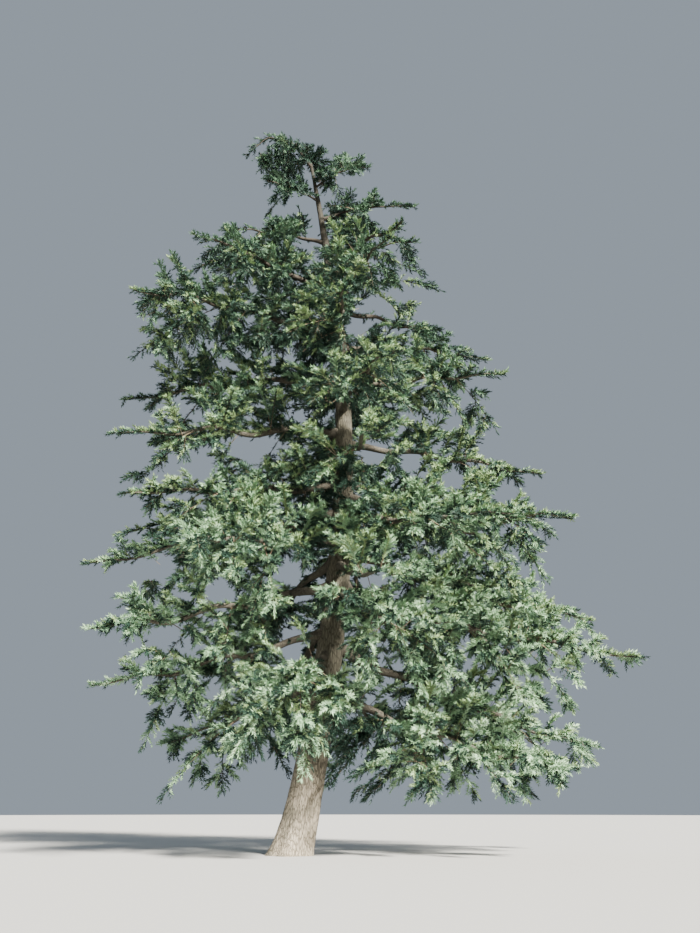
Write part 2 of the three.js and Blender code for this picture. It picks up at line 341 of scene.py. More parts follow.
@dataclass(frozen=True)
class Tier:
    """A loose ring of limbs: where it leaves the trunk, how many, its turn and its reaches."""

    height: float
    limbs: int
    turn: float
    right: float
    left: float
    depth: float

    OUTLINE_POWER = 3

    def reach(self, azimuth: float) -> float:
        """Finds how far the crown reaches on a bearing.

        Args:
            azimuth: the bearing.

        Returns:
            The reach in metres.
        """
        across = math.cos(azimuth)
        side = self.right if across > 0 else self.left
        sideways = (abs(across) / side) ** self.OUTLINE_POWER
        in_depth = (abs(math.sin(azimuth)) / self.depth) ** self.OUTLINE_POWER
        return (sideways + in_depth) ** (-1 / self.OUTLINE_POWER)


@dataclass(frozen=True)
class Crown:
    """The crown's tiers, and the rule that deals out their limbs."""

    tiers: tuple[Tier, ...] = (
        Tier(3.25, 4, -14, 5.2, 4.0, 4.1),
        Tier(4.2, 4, 22, 6.1, 4.8, 4.8),
        Tier(5.2, 5, -10, 6.3, 5.4, 5.0),
        Tier(6.35, 5, 16, 6.0, 5.8, 4.9),
        Tier(7.55, 5, -18, 5.1, 4.9, 4.6),
        Tier(8.8, 4, 12, 4.6, 5.3, 4.4),
        Tier(10.1, 4, -8, 4.2, 5.2, 4.0),
        Tier(11.35, 4, 12, 3.6, 5.0, 3.6),
        Tier(12.3, 4, 34, 3.3, 4.3, 3.3),
        Tier(13.6, 2, -8, 2.3, 2.6, 1.9),
        Tier(14.8, 2, 12, 2.4, 1.4, 1.6),
    )
    tier_spread: float = 1.1
    bare_tiers: int = 3
    bare_share: float = 0.27
    high_bough: str = "5.0"
    short_limbs: tuple[tuple[str, float], ...] = (("8.3", 0.8), ("8.0", 0.9), ("6.0", 0.93))
    reach_factor: Pair = (0.95, 0.1)
    slope: Pair = (-0.34, 0.0355)
    slope_jitter: float = 0.04
    arch: Pair = (-0.05, 0.011)
    arch_jitter: float = 0.02
    height_jitter: float = 0.1
    turn_jitter: float = math.radians(7)
    swing: float = math.radians(12)
    twin: Row = (15.85, math.radians(-8), 1.35, 0.36, 0.14)
    leader: Row = (16.45, math.radians(176), 1.72, 0.3, 0.44)
    top_seed: int = 2001

    def limbs(self) -> list[Limb]:
        """Grows every limb of the crown, from the ground up.

        Returns:
            The limbs in the order of the foliage nodes.
        """
        grown = [limb for level in range(len(self.tiers)) for limb in self.ring(level)]
        for i, form in enumerate((self.twin, self.leader)):
            grown.append(Limb(*form, self.top_seed + i, tier=len(self.tiers)))
        return grown

    def ring(self, level: int) -> Iterator[Limb]:
        """Grows the limbs of one tier.

        Args:
            level: the tier's number, from the lowest.

        Yields:
            Its limbs.
        """
        tier = self.tiers[level]
        for i in range(tier.limbs):
            seed = 100 * (level + 1) + i
            stream = Stream(seed)
            spread = stream.either_way() * self.turn_jitter
            azimuth = math.radians(tier.turn + 360 * i / tier.limbs) + spread
            odd = tier.limbs % 2 or i < tier.limbs / 2
            rank = (2 * i) % tier.limbs + (0 if odd else 1)
            lift = self.tier_spread * rank / tier.limbs + stream.either_way() * self.height_jitter
            height = tier.height + lift
            up = height - self.tiers[0].height
            shows = level < self.bare_tiers or self.high_bough == f"{level}.{i}"
            yield Limb(
                height=height,
                azimuth=azimuth,
                reach=tier.reach(azimuth) * rising(self.reach_factor, stream.draw()),
                slope=rising(self.slope, up) + self.slope_jitter * stream.either_way(),
                arch=rising(self.arch, up) + self.arch_jitter * stream.draw(),
                swing=stream.either_way() * self.swing,
                bare=self.bare_share if shows else 0.0,
                end=dict(self.short_limbs).get(f"{level}.{i}", 1.0),
                seed=seed,
                tier=level,
            )


@dataclass
class Twig:
    """A main twig of a limb: its rib, and the flat that its own twigs lie in."""

    root: Vector
    along: Vector
    roll: float
    length: float
    neck: float
    limb: int

    SAG = 0.3
    WIDTH_SHARE = 0.37
    WIDTH_MOST = 0.55

    @property
    def half_width(self) -> float:
        """The half width of the twig's spray."""
        return min(self.WIDTH_SHARE * self.length, self.WIDTH_MOST)

    def across(self) -> Vector:
        """Returns the direction in the twig's flat, square to its rib."""
        level = UP.cross(self.along).normalized()
        over = self.along.cross(level)
        return level * math.cos(self.roll) + over * math.sin(self.roll)

    def laid(self, out: float, aside: float) -> Vector:
        """Finds a point of the twig's flat, with its outer part sagging.

        Args:
            out: metres along the rib.
            aside: metres to the side of it.

        Returns:
            The point.
        """
        share = max(0.0, out) / self.length
        fall = self.SAG * self.length * share * share
        return self.root + self.along * out + self.across() * aside - UP * fall


@dataclass(frozen=True)
class TwigRule:
    """How the main twigs leave a limb, by the rule and the seeds of the part's source."""

    seed: int = 5000
    spacing: float = 0.37
    least: int = 5
    start: float = 0.14
    end: float = 0.7
    bare_clear: float = 0.03
    sides: tuple[int, ...] = (1, -1, 1, -1, 0)
    place_jitter: float = 0.3
    fan: float = 0.45
    fan_least: float = 0.95
    fan_most: float = 2.2
    length_factor: Pair = (0.88, 0.24)
    swell: Pair = (0.45, 0.55)
    swell_arc: Pair = (0.15, 0.72)
    spread_root: float = math.radians(70)
    spread_tip: float = math.radians(38)
    spread_factor: Pair = (0.9, 0.2)
    dip: Pair = (0.3, 0.45)
    tilt: float = 0.5
    tilt_jitter: float = 0.3
    hang_length: float = 0.7
    hang_dip: float = 1.5
    hang_factor: Pair = (0.7, 0.6)
    hang_turn: float = math.radians(25)
    neck_clear: float = 1.15
    neck_least: float = 0.06

    def twigs(self, limb: Limb, number: int) -> Iterator[Twig]:
        """Grows the main twigs of a limb by its seed.

        Args:
            limb: the limb.
            number: its place in the list of limbs.

        Yields:
            Its twigs, at their full lengths.
        """
        stream = Stream(limb.seed + self.seed)
        start = max(limb.bare + self.bare_clear, self.start)
        span = limb.reach * (self.end - start)
        count = max(self.least, math.floor(span / self.spacing + 0.5))
        longest = min(max(self.fan * limb.reach, self.fan_least), self.fan_most)
        for i in range(count):
            along = (i + 0.5 + self.place_jitter * (stream.draw() - 0.5)) / count
            share = start + (self.end - start) * along
            side = self.sides[i % len(self.sides)]
            spread = side * mix(self.spread_root, self.spread_tip, along)
            spread *= rising(self.spread_factor, stream.draw())
            heading = limb.heading(share)
            level = Vector((heading.x, heading.y)).normalized()
            turned = math.atan2(level.y, level.x) + spread
            if side:
                dip = rising(self.dip, stream.draw())
            else:
                dip = self.hang_dip * rising(self.hang_factor, stream.draw())
            swell = rising(self.swell, math.sin(math.pi * rising(self.swell_arc, along)))
            length = longest * swell * rising(self.length_factor, stream.draw())
            length *= 1 if side else self.hang_length
            lean = stream.either_way()
            if side:
                roll = side * (self.tilt + self.tilt_jitter * lean)
            else:
                roll = math.pi / 2 + self.hang_turn * lean
            yield Twig(
                root=limb.at(share),
                along=Vector((math.cos(turned), math.sin(turned), -dip)).normalized(),
                roll=roll,
                length=length,
                neck=max(self.neck_clear * limb.radius(share), self.neck_least * length),
                limb=number,
            )


@dataclass
class Spaces:
    """The space of each limb, which the twigs of another don't enter."""

    limbs: list[Limb]
    headroom: float = 1.0
    long_twig: float = 1.6
    twig_drop: float = 0.4
    lines: np.ndarray = field(init=False)

    CHUNK = 2000
    SHRINKING = (1.0, 0.8, 0.64, 0.5)
    MIDDLE = 0.47
    PAIR_GAP = 0.35
    STAGGER = 0.38
    VALLEY = 0.25
    TOOTH = 0.95
    SWELL_ARC = (0.2, 0.68)

    def __post_init__(self) -> None:
        """Lays out the limbs' lines."""
        self.lines = np.array([limb.line() for limb in self.limbs])

    def steps(self, points: np.ndarray, drop: float) -> Iterator[Chunk]:
        """Measures from points to every stretch of every limb's line, a chunk at a time.

        Args:
            points: the points.
            drop: how far the spaces hang below their limbs.

        Yields:
            The chunk, how far along each stretch the nearest place is, and the step from there.
        """
        starts, runs = self.lines[:, :-1], np.diff(self.lines, axis=1)
        for first in range(0, len(points), self.CHUNK):
            chunk = slice(first, first + self.CHUNK)
            gap = (points[chunk] + UPWARDS * drop)[:, None, None, :] - starts
            place = np.clip((gap * runs).sum(-1) / (runs * runs).sum(-1), 0, 1)
            yield chunk, place, gap - place[..., None] * runs

    def margins(self, points: np.ndarray, owners: np.ndarray, drop: float) -> np.ndarray:
        """Measures how far inside their own limb's space points lie.

        Args:
            points: the points.
            owners: the number of each one's limb.
            drop: how far the spaces hang below their limbs.

        Returns:
            The distance to the nearest other limb less that to its own.
        """
        room = np.empty(len(points))
        for chunk, _, step in self.steps(points, drop):
            away = np.linalg.norm(step, axis=-1).min(axis=2)
            rows = np.arange(len(away))
            own = away[rows, owners[chunk]].copy()
            away[rows, owners[chunk]] = np.inf
            room[chunk] = away.min(axis=1) - own
        return room

    def nearest(self, points: np.ndarray, drop: float, flatten: float) -> tuple[np.ndarray, ...]:
        """Finds the limb whose space each point lies in.

        Args:
            points: the points.
            drop: how far the spaces hang below their limbs.
            flatten: how much more a step up or down counts than one to the side.

        Returns:
            The limb's number, the share of its reach nearest the point, how far away that is, and
            how far the point is below it.
        """
        scale = np.array([1.0, 1.0, flatten])
        owner = np.empty(len(points), dtype=int)
        share, away, below = np.empty((3, len(points)))
        for chunk, place, step in self.steps(points, drop):
            true = np.linalg.norm(step, axis=-1)
            rows = np.arange(len(true))
            best = true.min(axis=2).argmin(axis=1)
            stretch = true[rows, best].argmin(axis=1)
            owner[chunk] = best
            share[chunk] = (stretch + place[rows, best, stretch]) / Limb.STRETCHES
            away[chunk] = np.linalg.norm(step[rows, best, stretch] * scale, axis=-1)
            below[chunk] = drop - step[rows, best, stretch, 2]
        return owner, share, away, below

    def outline(self, twig: Twig) -> np.ndarray:
        """Lays out the toothed outline of a twig's spray.

        Args:
            twig: the twig.

        Returns:
            Its points.
        """
        pairs = 3 if twig.length > self.long_twig else 2
        pitch = 1 / (pairs + self.PAIR_GAP)
        points = [twig.laid(self.MIDDLE * twig.length, 0), twig.laid(twig.length, 0)]
        for side in (1, -1):
            early = 0 if side > 0 else self.STAGGER * pitch
            for i in range(pairs):
                valley = (i + self.VALLEY) * pitch if i else twig.neck / twig.length
                tooth = valley - early + self.TOOTH * pitch
                arc = math.pi * rising(self.SWELL_ARC, min(tooth, 1))
                aside = side * twig.half_width * math.sin(arc)
                points.append(twig.laid(tooth * twig.length, aside))
        return np.array(points)

    def fitted(self, twig: Twig) -> Twig | None:
        """Shortens a twig until it keeps to its limb's space.

        Args:
            twig: the twig at its full length.

        Returns:
            The twig, or nothing where it never fits.
        """
        full = twig.length
        for share in self.SHRINKING:
            twig.length = full * share
            points = self.outline(twig)
            if points[:, 2].min() < self.headroom:
                continue
            owners = np.full(len(points), twig.limb)
            if self.margins(points, owners, self.twig_drop).min() >= 0:
                return twig
        return None


@dataclass
class Strands:
    """Many thin twigs at once, each a straight run that sags: arrays with a row for each.

    A twig's core is the middle of its spray, which the faces of its needles look away from.
    """

    root: np.ndarray
    along: np.ndarray
    length: np.ndarray
    sag: np.ndarray
    girth: np.ndarray
    limb: np.ndarray
    core: np.ndarray

    def __len__(self) -> int:
        """Returns how many there are."""
        return len(self.length)

    def at(self, rows: np.ndarray, share: np.ndarray) -> np.ndarray:
        """Finds points on the twigs.

        Args:
            rows: the twig of each point.
            share: how far along it.

        Returns:
            The points.
        """
        out = (self.length[rows] * share)[:, None]
        fall = (self.sag[rows] * self.length[rows] * share * share)[:, None]
        return self.root[rows] + self.along[rows] * out - UPWARDS * fall

    def heading(self, rows: np.ndarray, share: np.ndarray) -> np.ndarray:
        """Returns which way twigs run at shares of their lengths, as directions of length one."""
        return unit(self.along[rows] - UPWARDS * (2 * self.sag[rows] * share)[:, None])

    def pick(self, chosen: np.ndarray) -> "Strands":
        """Returns some of the twigs, by a mask or their rows."""
        return Strands(*(getattr(self, name)[chosen] for name in self.__dataclass_fields__))

    @staticmethod
    def of(rows: Iterable[tuple]) -> "Strands":
        """Returns twigs from a row of values for each, in the order of the fields."""
        return Strands(*map(np.array, zip(*rows)))

    @staticmethod
    def joined(groups: list["Strands"]) -> "Strands":
        """Puts groups of twigs one after the other.

        Args:
            groups: the groups.

        Returns:
            All their twigs.
        """
        names = Strands.__dataclass_fields__
        columns = ([getattr(group, name) for group in groups] for name in names)
        return Strands(*map(np.concatenate, columns))


def dealt(counts: np.ndarray, rng: np.random.Generator, jitter: float) -> tuple[np.ndarray, ...]:
    """Deals places out along many twigs, evenly but for a jitter.

    Args:
        counts: how many places each twig gets.
        rng: the source of chance.
        jitter: how far a place may be off, over the step.

    Returns:
        The twig of each place, its number on that twig, and how far along it is.
    """
    rows = np.repeat(np.arange(len(counts)), counts)
    firsts = np.repeat(np.cumsum(counts) - counts, counts)
    order = np.arange(len(rows)) - firsts
    share = (order + 0.5 + jitter * (rng.random(len(rows)) - 0.5)) / counts[rows]
    return rows, order, share


@dataclass(frozen=True)
class Patches:
    """A smooth field through the crown, high in some places and low in others."""

    seed: int
    width: float
    height: float
    waves: int = 16
    spread: float = 0.35

    def field(self, points: np.ndarray) -> np.ndarray:
        """Finds the field at points: its mean is 0 and its deviation 1.

        Args:
            points: the points.

        Returns:
            The field at each.
        """
        rng = np.random.default_rng(self.seed)
        directions = unit(rng.normal(0, 1, (self.waves, 3)))
        lengths = rng.uniform(1 - self.spread, 1 + self.spread, (self.waves, 1))
        steps = 2 * np.pi * directions / (lengths * np.array([self.width, self.width, self.height]))
        phases = rng.uniform(0, 2 * np.pi, self.waves)
        total = np.zeros(len(points))
        for step, phase in zip(steps, phases):
            total += np.cos(points @ step + phase)
        return total * math.sqrt(2 / self.waves)


FRONT = (1.19, -19.55, 0.92)


@dataclass(frozen=True)
class Opening:
    """A gap in the crown as it shows from the open front: its middle and size at the trunk.

    One that isn't through ends at the trunk, and the far side of the crown fills it.
    """

    across: float
    height: float
    half_width: float
    half_height: float
    through: bool = True

    def covers(self, points: np.ndarray) -> np.ndarray:
        """Tests which points stand in the gap.

        Args:
            points: the points.

        Returns:
            A mask.
        """
        near = np.array(FRONT)
        depth = (points[:, 1] - near[1]) / -near[1]
        aside = near[0] + (points[:, 0] - near[0]) / depth
        level = near[2] + (points[:, 2] - near[2]) / depth
        wide = (aside - self.across) / self.half_width
        tall = (level - self.height) / self.half_height
        return (wide**2 + tall**2 < 1) & (self.through | (points[:, 1] < 0))


# A scratch script that measured the gaps in the photo gave eight of these middles as they stand,
# and six more that were then rounded or moved by up to 0.15 m. The rest match none of the
# measured gaps.
OPENINGS = tuple(
    Opening(*row)
    for row in (
        (1.03, 9.25, 0.45, 0.52, False),
        (0.9, 5.75, 0.45, 0.35, False),
        (0.75, 4.15, 0.35, 0.6, False),
        (0.4, 15.1, 0.2, 0.6, False),
        (-1.01, 8.75, 0.5, 0.28),
        (-3.56, 5.77, 0.6, 0.22),
        (1.7, 8.6, 0.36, 0.28),
        (1.78, 12.3, 0.5, 0.36),
        (-2.24, 8.2, 0.28, 0.3),
        (1.6, 5.72, 0.5, 0.25),
        (-1.64, 5.24, 0.32, 0.38),
        (3.5, 7.91, 0.3, 0.22),
        (1.3, 11.8, 0.3, 0.18),
        (-2.5, 9.65, 0.2, 0.14),
        (-2.72, 4.3, 0.26, 0.24),
        (-0.14, 5.71, 0.26, 0.24),
        (-0.05, 4.12, 0.24, 0.4),
        (2.6, 8.37, 0.22, 0.3),
        (-2.21, 12.31, 0.22, 0.2),
        (0.1, 14.3, 0.35, 0.22),
        (-1.37, 14.9, 0.35, 0.5),
        (-2.45, 14.65, 0.42, 0.6),
        (0.12, 15.4, 0.2, 0.35),
        (-0.6, 15.25, 0.5, 0.14),
        (2.15, 15.15, 0.48, 0.28),
        (2.0, 14.2, 0.3, 0.2),
        (0.8, 17.52, 1.1, 0.22),
        (-1.5, 17.35, 0.5, 0.4),
        (1.35, 16.1, 0.5, 0.18),
        (-3.0, 14.9, 0.6, 0.4),
        (-3.75, 14.2, 0.42, 0.45),
        (-3.95, 13.65, 0.32, 0.35),
        (2.98, 14.6, 0.4, 0.5),
    )
)
THICKETS = (
    (-2.0, -1.2, 11.4, 1.6),
    (-2.0, -1.0, 12.6, 1.5),
    (-1.0, -1.2, 12.9, 1.5),
    (-0.5, 0.0, 16.7, 0.6),
    (0.25, 0.0, 16.85, 0.5),
    (0.8, -0.1, 16.75, 0.28),
    (1.0, -0.2, 15.3, 0.45),
    (1.7, -0.1, 15.75, 0.3),
    (3.0, -0.2, 12.95, 0.42),
    (2.4, -0.3, 13.2, 0.5),
    (-1.9, -0.9, 8.95, 0.75),
    (-1.6, -1.0, 9.95, 0.8),
    (-2.6, -1.0, 10.6, 0.8),
    (1.3, -0.9, 1.9, 0.9),
    (3.2, -0.5, 9.9, 0.5),
    (4.0, -0.4, 9.1, 0.5),
    (3.5, -0.5, 8.7, 0.45),
    (0.5, -0.8, 2.1, 0.45),
    (0.95, -0.9, 1.75, 0.4),
    (1.6, -0.9, 1.65, 0.4),
    (-3.0, -1.0, 4.9, 0.6),
    (-2.9, -0.9, 7.2, 0.5),
    (-3.3, -0.9, 6.6, 0.45),
    (-2.6, -1.0, 5.2, 0.6),
    (0.6, -3.1, 2.0, 0.55),
    (0.45, -2.5, 1.95, 0.5),
    (0.3, -1.8, 2.2, 0.5),
    (-2.44, -0.9, 3.3, 0.6),
    (-1.7, -0.9, 3.1, 0.5),
)
HOLLOWS = Patches(seed=7, width=1.6, height=1.1)
COLOURS = Patches(seed=8, width=2.4, height=1.6)
CLUMPS = Patches(seed=9, width=0.8, height=0.6)


def in_opening(points: np.ndarray) -> np.ndarray:
    """Tests which points stand in a gap that shows from the open front.

    Args:
        points: the points.

    Returns:
        A mask.
    """
    return np.any([opening.covers(points) for opening in OPENINGS], axis=0)


def in_thicket(points: np.ndarray) -> np.ndarray:
    """Tests which points stand in the balls where the crown is at its thickest.

    Args:
        points: the points.

    Returns:
        A mask.
    """
    inside = [np.linalg.norm(points - np.array(ball[:3]), axis=1) < ball[3] for ball in THICKETS]
    return np.any(inside, axis=0)


def in_box(points: np.ndarray, margin: float) -> np.ndarray:
    """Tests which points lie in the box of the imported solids.

    Args:
        points: the points.
        margin: how far outside it they may lie.

    Returns:
        A mask.
    """
    low, high = np.array(PACKED_LOW) - margin, np.array(PACKED_HIGH) + margin
    return ((points > low) & (points < high)).all(axis=1)


def ramped(values: np.ndarray, start: float, span: float) -> np.ndarray:
    """Goes from 0 to 1 while values pass through a stretch.

    Args:
        values: the values.
        start: where the stretch begins.
        span: how long it is.

    Returns:
        The share for each value.
    """
    return np.clip((values - start) / span, 0, 1)


@dataclass(frozen=True)
class ClumpRule:
    """Where clumps of foliage stand: the lattice, the room of a limb, the shade and the hollows.

    The low tiers and the back are fuller, the tiers near the top thinner, and the leader and its
    twin are plumes. A curtain of clumps veils the trunk, before and behind it.
    """

    pitch: float = 0.54
    storey: float = 0.4
    jitter: float = 0.42
    above: float = 0.2
    flatten: float = 1.3
    room_share: float = 0.5
    room_least: float = 0.2
    full_tiers: int = 6
    full_room: float = 1.12
    thin_tiers: int = 9
    thin_room: float = 0.6
    thin_least: float = 0.08
    plume_tiers: int = 11
    plume_room: float = 0.5
    plume_above: float = 0.3
    plume_from: float = 13.9
    plume_scale: float = 0.7
    near_twig: float = 0.32
    thicket_room: float = 1.7
    curtain_half: Pair = (0.42, 2.4)
    curtain_top: float = 13.5
    curtain_room: float = 1.1
    behind_from: float = 0.4
    shade_from: float = 0.08
    shade_depth: float = 0.25
    shade_kept: float = 0.3
    shade_behind: float = 0.6
    shade_reach: float = 1.2
    shade_inner: float = 0.3
    hollow: float = -1.0
    inner_gap: float = 0.5
    low_fill: float = 0.9
    low_top: float = 8.0
    low_depth: float = 3.0
    behind_fill: float = 0.4
    bare_share: float = 0.3
    trunk_clear: float = 0.25


@dataclass(frozen=True)
class RibRule:
    """How a clump's rib picks its foot on a limb or a main twig, and how it runs from there."""

    limb_span: Pair = (0.08, 0.97)
    limb_step: float = 0.1
    twig_step: float = 0.12
    twig_end: float = 0.94
    turn_cost: float = 0.6
    length_cost: float = 0.5
    best_length: float = 0.4
    pull: float = 0.7
    beyond: float = 0.12
    sag: float = 0.22
    least: float = 0.3
    most: float = 1.5
    girth: float = 0.0075
    clump_girth: Pair = (0.4, 0.5)
    main_girth: Pair = (0.6, 0.6)
    probes: Row = (0.15, 0.3, 0.45, 0.6, 0.75, 0.9, 1.0)
    crossings: int = 2
    core_least: float = 0.3


@dataclass(frozen=True)
class PadRule:
    """The pad of branchlets at the end of a rib, and the few branchlets along its inner part."""

    length: float = 0.62
    step: float = 0.033
    jitter: float = 0.6
    start: float = 0.1
    inner_step: float = 0.3
    inner_jitter: float = 0.8
    inner_start: float = 0.15
    inner_out: float = 0.2
    spread_root: float = math.radians(68)
    spread_tip: float = math.radians(24)
    spread_factor: Pair = (0.75, 1.2)
    fluff: float = 0.36
    perk: float = 0.16
    branchlet: Pair = (0.14, 0.25)
    swell: Pair = (0.62, 0.38)
    swell_arc: Pair = (0.12, 0.8)
    sag: Pair = (0.1, 0.45)
    girth_base: float = 0.6
    emptied: float = 0.85


@dataclass(frozen=True)
class CoatRule:
    """The short sprays that clothe the limbs themselves, all round but for the underside."""

    step: float = 0.032
    bare_share: float = 0.6
    start: float = 0.1
    crowding: float = 0.75
    turn: float = 1.8
    lean: Pair = (0.5, 1.05)
    length: Pair = (0.14, 0.28)
    tip_cut: float = 0.4
    tip_power: int = 6
    sag: Pair = (0.1, 0.35)
    emptied: float = 0.45


@dataclass
class Sprays:
    """The twigs of every mass: main twigs, the ribs of the clumps on them, and their branchlets."""

    limbs: list[Limb]
    spaces: Spaces
    seed: int = 41
    clump: ClumpRule = ClumpRule()
    rib: RibRule = RibRule()
    pad: PadRule = PadRule()
    coat: CoatRule = CoatRule()
    core_drop: float = 0.1
    drop: float = 0.1
    branchlet_girth: float = 0.0038
    overhang: float = 0.14
    trunk_overhang: float = 0.7
    trunk_reach: float = 1.5
    thicket_overhang: float = 0.8
    trunk_clear: float = 0.2
    trunk_end: float = 18.0
    box_margin: float = 0.12
    ground_margin: float = 0.05
    probe: float = 0.4
    ribs: Strands = field(init=False)
    branchlets: Strands = field(init=False)

    HEART_STEP = 0.02
    HEART_ROWS = 900
    CHUNK = 500

    def __post_init__(self) -> None:
        """Grows the main twigs, the ribs of the clumps and then the branchlets."""
        self.rng = np.random.default_rng(self.seed)
        self.heart = np.array([TRUNK.axis(self.HEART_STEP * i) for i in range(self.HEART_ROWS)])
        mains = self.mains()
        ribs = Strands.joined([mains, self.clump_ribs(mains)])
        rows = np.arange(len(ribs))
        middle = np.maximum(self.rib.core_least, 1 - 0.5 * self.pad.length / ribs.length)
        ribs.core = ribs.at(rows, middle) - UPWARDS * self.core_drop
        probes = (np.full(len(ribs), share) for share in self.rib.probes)
        crossing = sum(in_opening(ribs.at(rows, probe)) for probe in probes)
        self.ribs = ribs.pick(crossing < self.rib.crossings)
        self.branchlets = Strands.joined([self.grown_branchlets(), self.limb_sprays()])

    def mains(self) -> Strands:
        """Grows the ribs of the main twigs.

        Returns:
            The ribs.
        """
        rule, grown = TwigRule(), []
        for number, limb in enumerate(self.limbs):
            for twig in filter(None, map(self.spaces.fitted, rule.twigs(limb, number))):
                girth = self.rib.girth * rising(self.rib.main_girth, twig.length)
                row = (twig.root, twig.along, twig.length, Twig.SAG, girth, number, twig.root)
                grown.append(row)
        return Strands.of(grown)

    def from_heart(self, points: np.ndarray) -> np.ndarray:
        """Returns how far each point is from the trunk's heart."""
        return np.linalg.norm((points - self.heart_at(points))[:, :2], axis=1)

    def heart_at(self, points: np.ndarray) -> np.ndarray:
        """Returns the point of the trunk's heart at the height of each point."""
        rows = np.round(points[:, 2] / self.HEART_STEP).astype(int)
        return self.heart[np.clip(rows, 0, len(self.heart) - 1)]

    def anchors(self, mains: Strands) -> tuple[np.ndarray, np.ndarray, np.ndarray, np.ndarray]:
        """Lists the places on limbs and main twigs that ribs can leave from.

        Args:
            mains: the main twigs.

        Returns:
            The places, the headings there, the limb of each, and whether it is on a main twig.
        """
        rule = self.rib
        spots, headings, owners = [], [], []
        for number, limb in enumerate(self.limbs):
            start, end = max(limb.bare, rule.limb_span[0]), rule.limb_span[1] * limb.end
            for share in np.arange(start, end, rule.limb_step / limb.reach):
                spots.append(limb.at(share))
                headings.append(limb.heading(share))
                owners.append(number)
        counts = np.maximum(2, np.round(mains.length / rule.twig_step)).astype(int)
        rows, _, share = dealt(counts, self.rng, 0.0)
        on_twig = np.arange(len(spots) + len(rows)) >= len(spots)
        spots = np.concatenate([np.array(spots), mains.at(rows, share * rule.twig_end)])
        headings = np.concatenate([np.array(headings), mains.heading(rows, share)])
        return spots, headings, np.concatenate([np.array(owners), mains.limb[rows]]), on_twig

    def lattice(self) -> np.ndarray:
        """Lays a jittered lattice through the crown's box.

        Returns:
            Its points.
        """
        rule, low, high = self.clump, PACKED_LOW, PACKED_HIGH
        points, level = [], self.spaces.headroom + rule.above
        while level < high[2] + rule.above:
            scale = 1.0 if level < rule.plume_from else rule.plume_scale
            pitch, storey = rule.pitch * scale, rule.storey * scale
            shift = 0.5 * pitch * (len(points) % 2)
            across = np.arange(low[0] + shift, high[0], pitch)
            deep = np.arange(low[1] + shift, high[1], pitch)
            grid = np.stack(np.meshgrid(across, deep, [level], indexing="ij"), axis=-1)
            grid = grid.reshape(-1, 3)
            loose = self.rng.uniform(-rule.jitter, rule.jitter, grid.shape)
            points.append(grid + loose * np.array([pitch, pitch, storey]))
            level += storey
        return np.concatenate(points)

    def steps(
        self, points: np.ndarray, owner: np.ndarray, spots: np.ndarray, owners: np.ndarray
    ) -> Iterator[Chunk]:
        """Measures from places to points, a chunk of the points at a time.

        Args:
            points: the points.
            owner: the limb of each.
            spots: the places.
            owners: the limb of each.

        Yields:
            The chunk, the step from every place, and a mask of the places on other limbs.
        """
        for first in range(0, len(points), self.CHUNK):
            chunk = slice(first, first + self.CHUNK)
            yield chunk, points[chunk, None] - spots[None], owner[chunk, None] != owners[None]

    def clumps(self, twigs: np.ndarray, twig_limbs: np.ndarray) -> tuple[np.ndarray, np.ndarray]:
        """Chooses the points of the lattice that carry a clump of foliage.

        Args:
            twigs: places on the main twigs.
            twig_limbs: the limb of each.

        Returns:
            The points, and the limb of each.
        """
        rule, points = self.clump, self.lattice()
        owner, share, away, below = self.spaces.nearest(points, self.drop, rule.flatten)
        reach, bare, tier, end = (
            np.array([getattr(limb, name) for limb in self.limbs])[owner]
            for name in ("reach", "bare", "tier", "end")
        )
        heart = self.from_heart(points)
        behind = points[:, 1] > rule.behind_from
        thin = tier >= rule.thin_tiers
        room = rule.room_share * np.where(thin, rule.thin_room, 1.0)
        room = room * np.where((tier < rule.full_tiers) | behind, rule.full_room, 1.0)
        near = away < room * (end - share) * reach + rule.room_least + rule.thin_least * thin
        plume = (away < rule.plume_room) & (below > -rule.plume_above)
        near &= (tier < rule.plume_tiers) | plume
        dense = in_thicket(points)
        near |= dense & (away < rule.thicket_room)
        aside = np.abs((self.heart_at(points) - points)[:, :2])
        curtain = (aside < np.array(rule.curtain_half)).all(axis=1)
        curtain &= (away < rule.curtain_room) & (points[:, 2] < rule.curtain_top)
        near |= curtain
        shade = ramped(below, rule.shade_from, rule.shade_depth) * (1 - rule.shade_kept)
        shade = shade * np.where(behind, rule.shade_behind, 1.0)
        shade = shade * np.clip(heart / rule.shade_reach, rule.shade_inner, 1)
        near &= (self.rng.random(len(points)) > shade) | curtain | dense
        for chunk, step, foreign in self.steps(points, owner, twigs, twig_limbs):
            gap = np.linalg.norm(step, axis=-1)
            gap[foreign] = np.inf
            near[chunk] |= gap.min(axis=1) < rule.near_twig
        near &= (share < end) | dense
        least = rule.hollow + rule.inner_gap * (1 - np.clip(heart / reach, 0, 1))
        low = np.clip((rule.low_top - points[:, 2]) / rule.low_depth, 0, 1)
        least = least - rule.low_fill * low
        least = least - rule.behind_fill * behind
        gap = in_opening(points)
        curtain &= ~gap
        hollow = ((HOLLOWS.field(points) < least) & ~dense) | gap
        clothed = share > np.where(curtain | dense, rule.bare_share, 1.0) * bare
        chosen = near & clothed & (~hollow | curtain) & (heart > rule.trunk_clear)
        return points[chosen], owner[chosen]

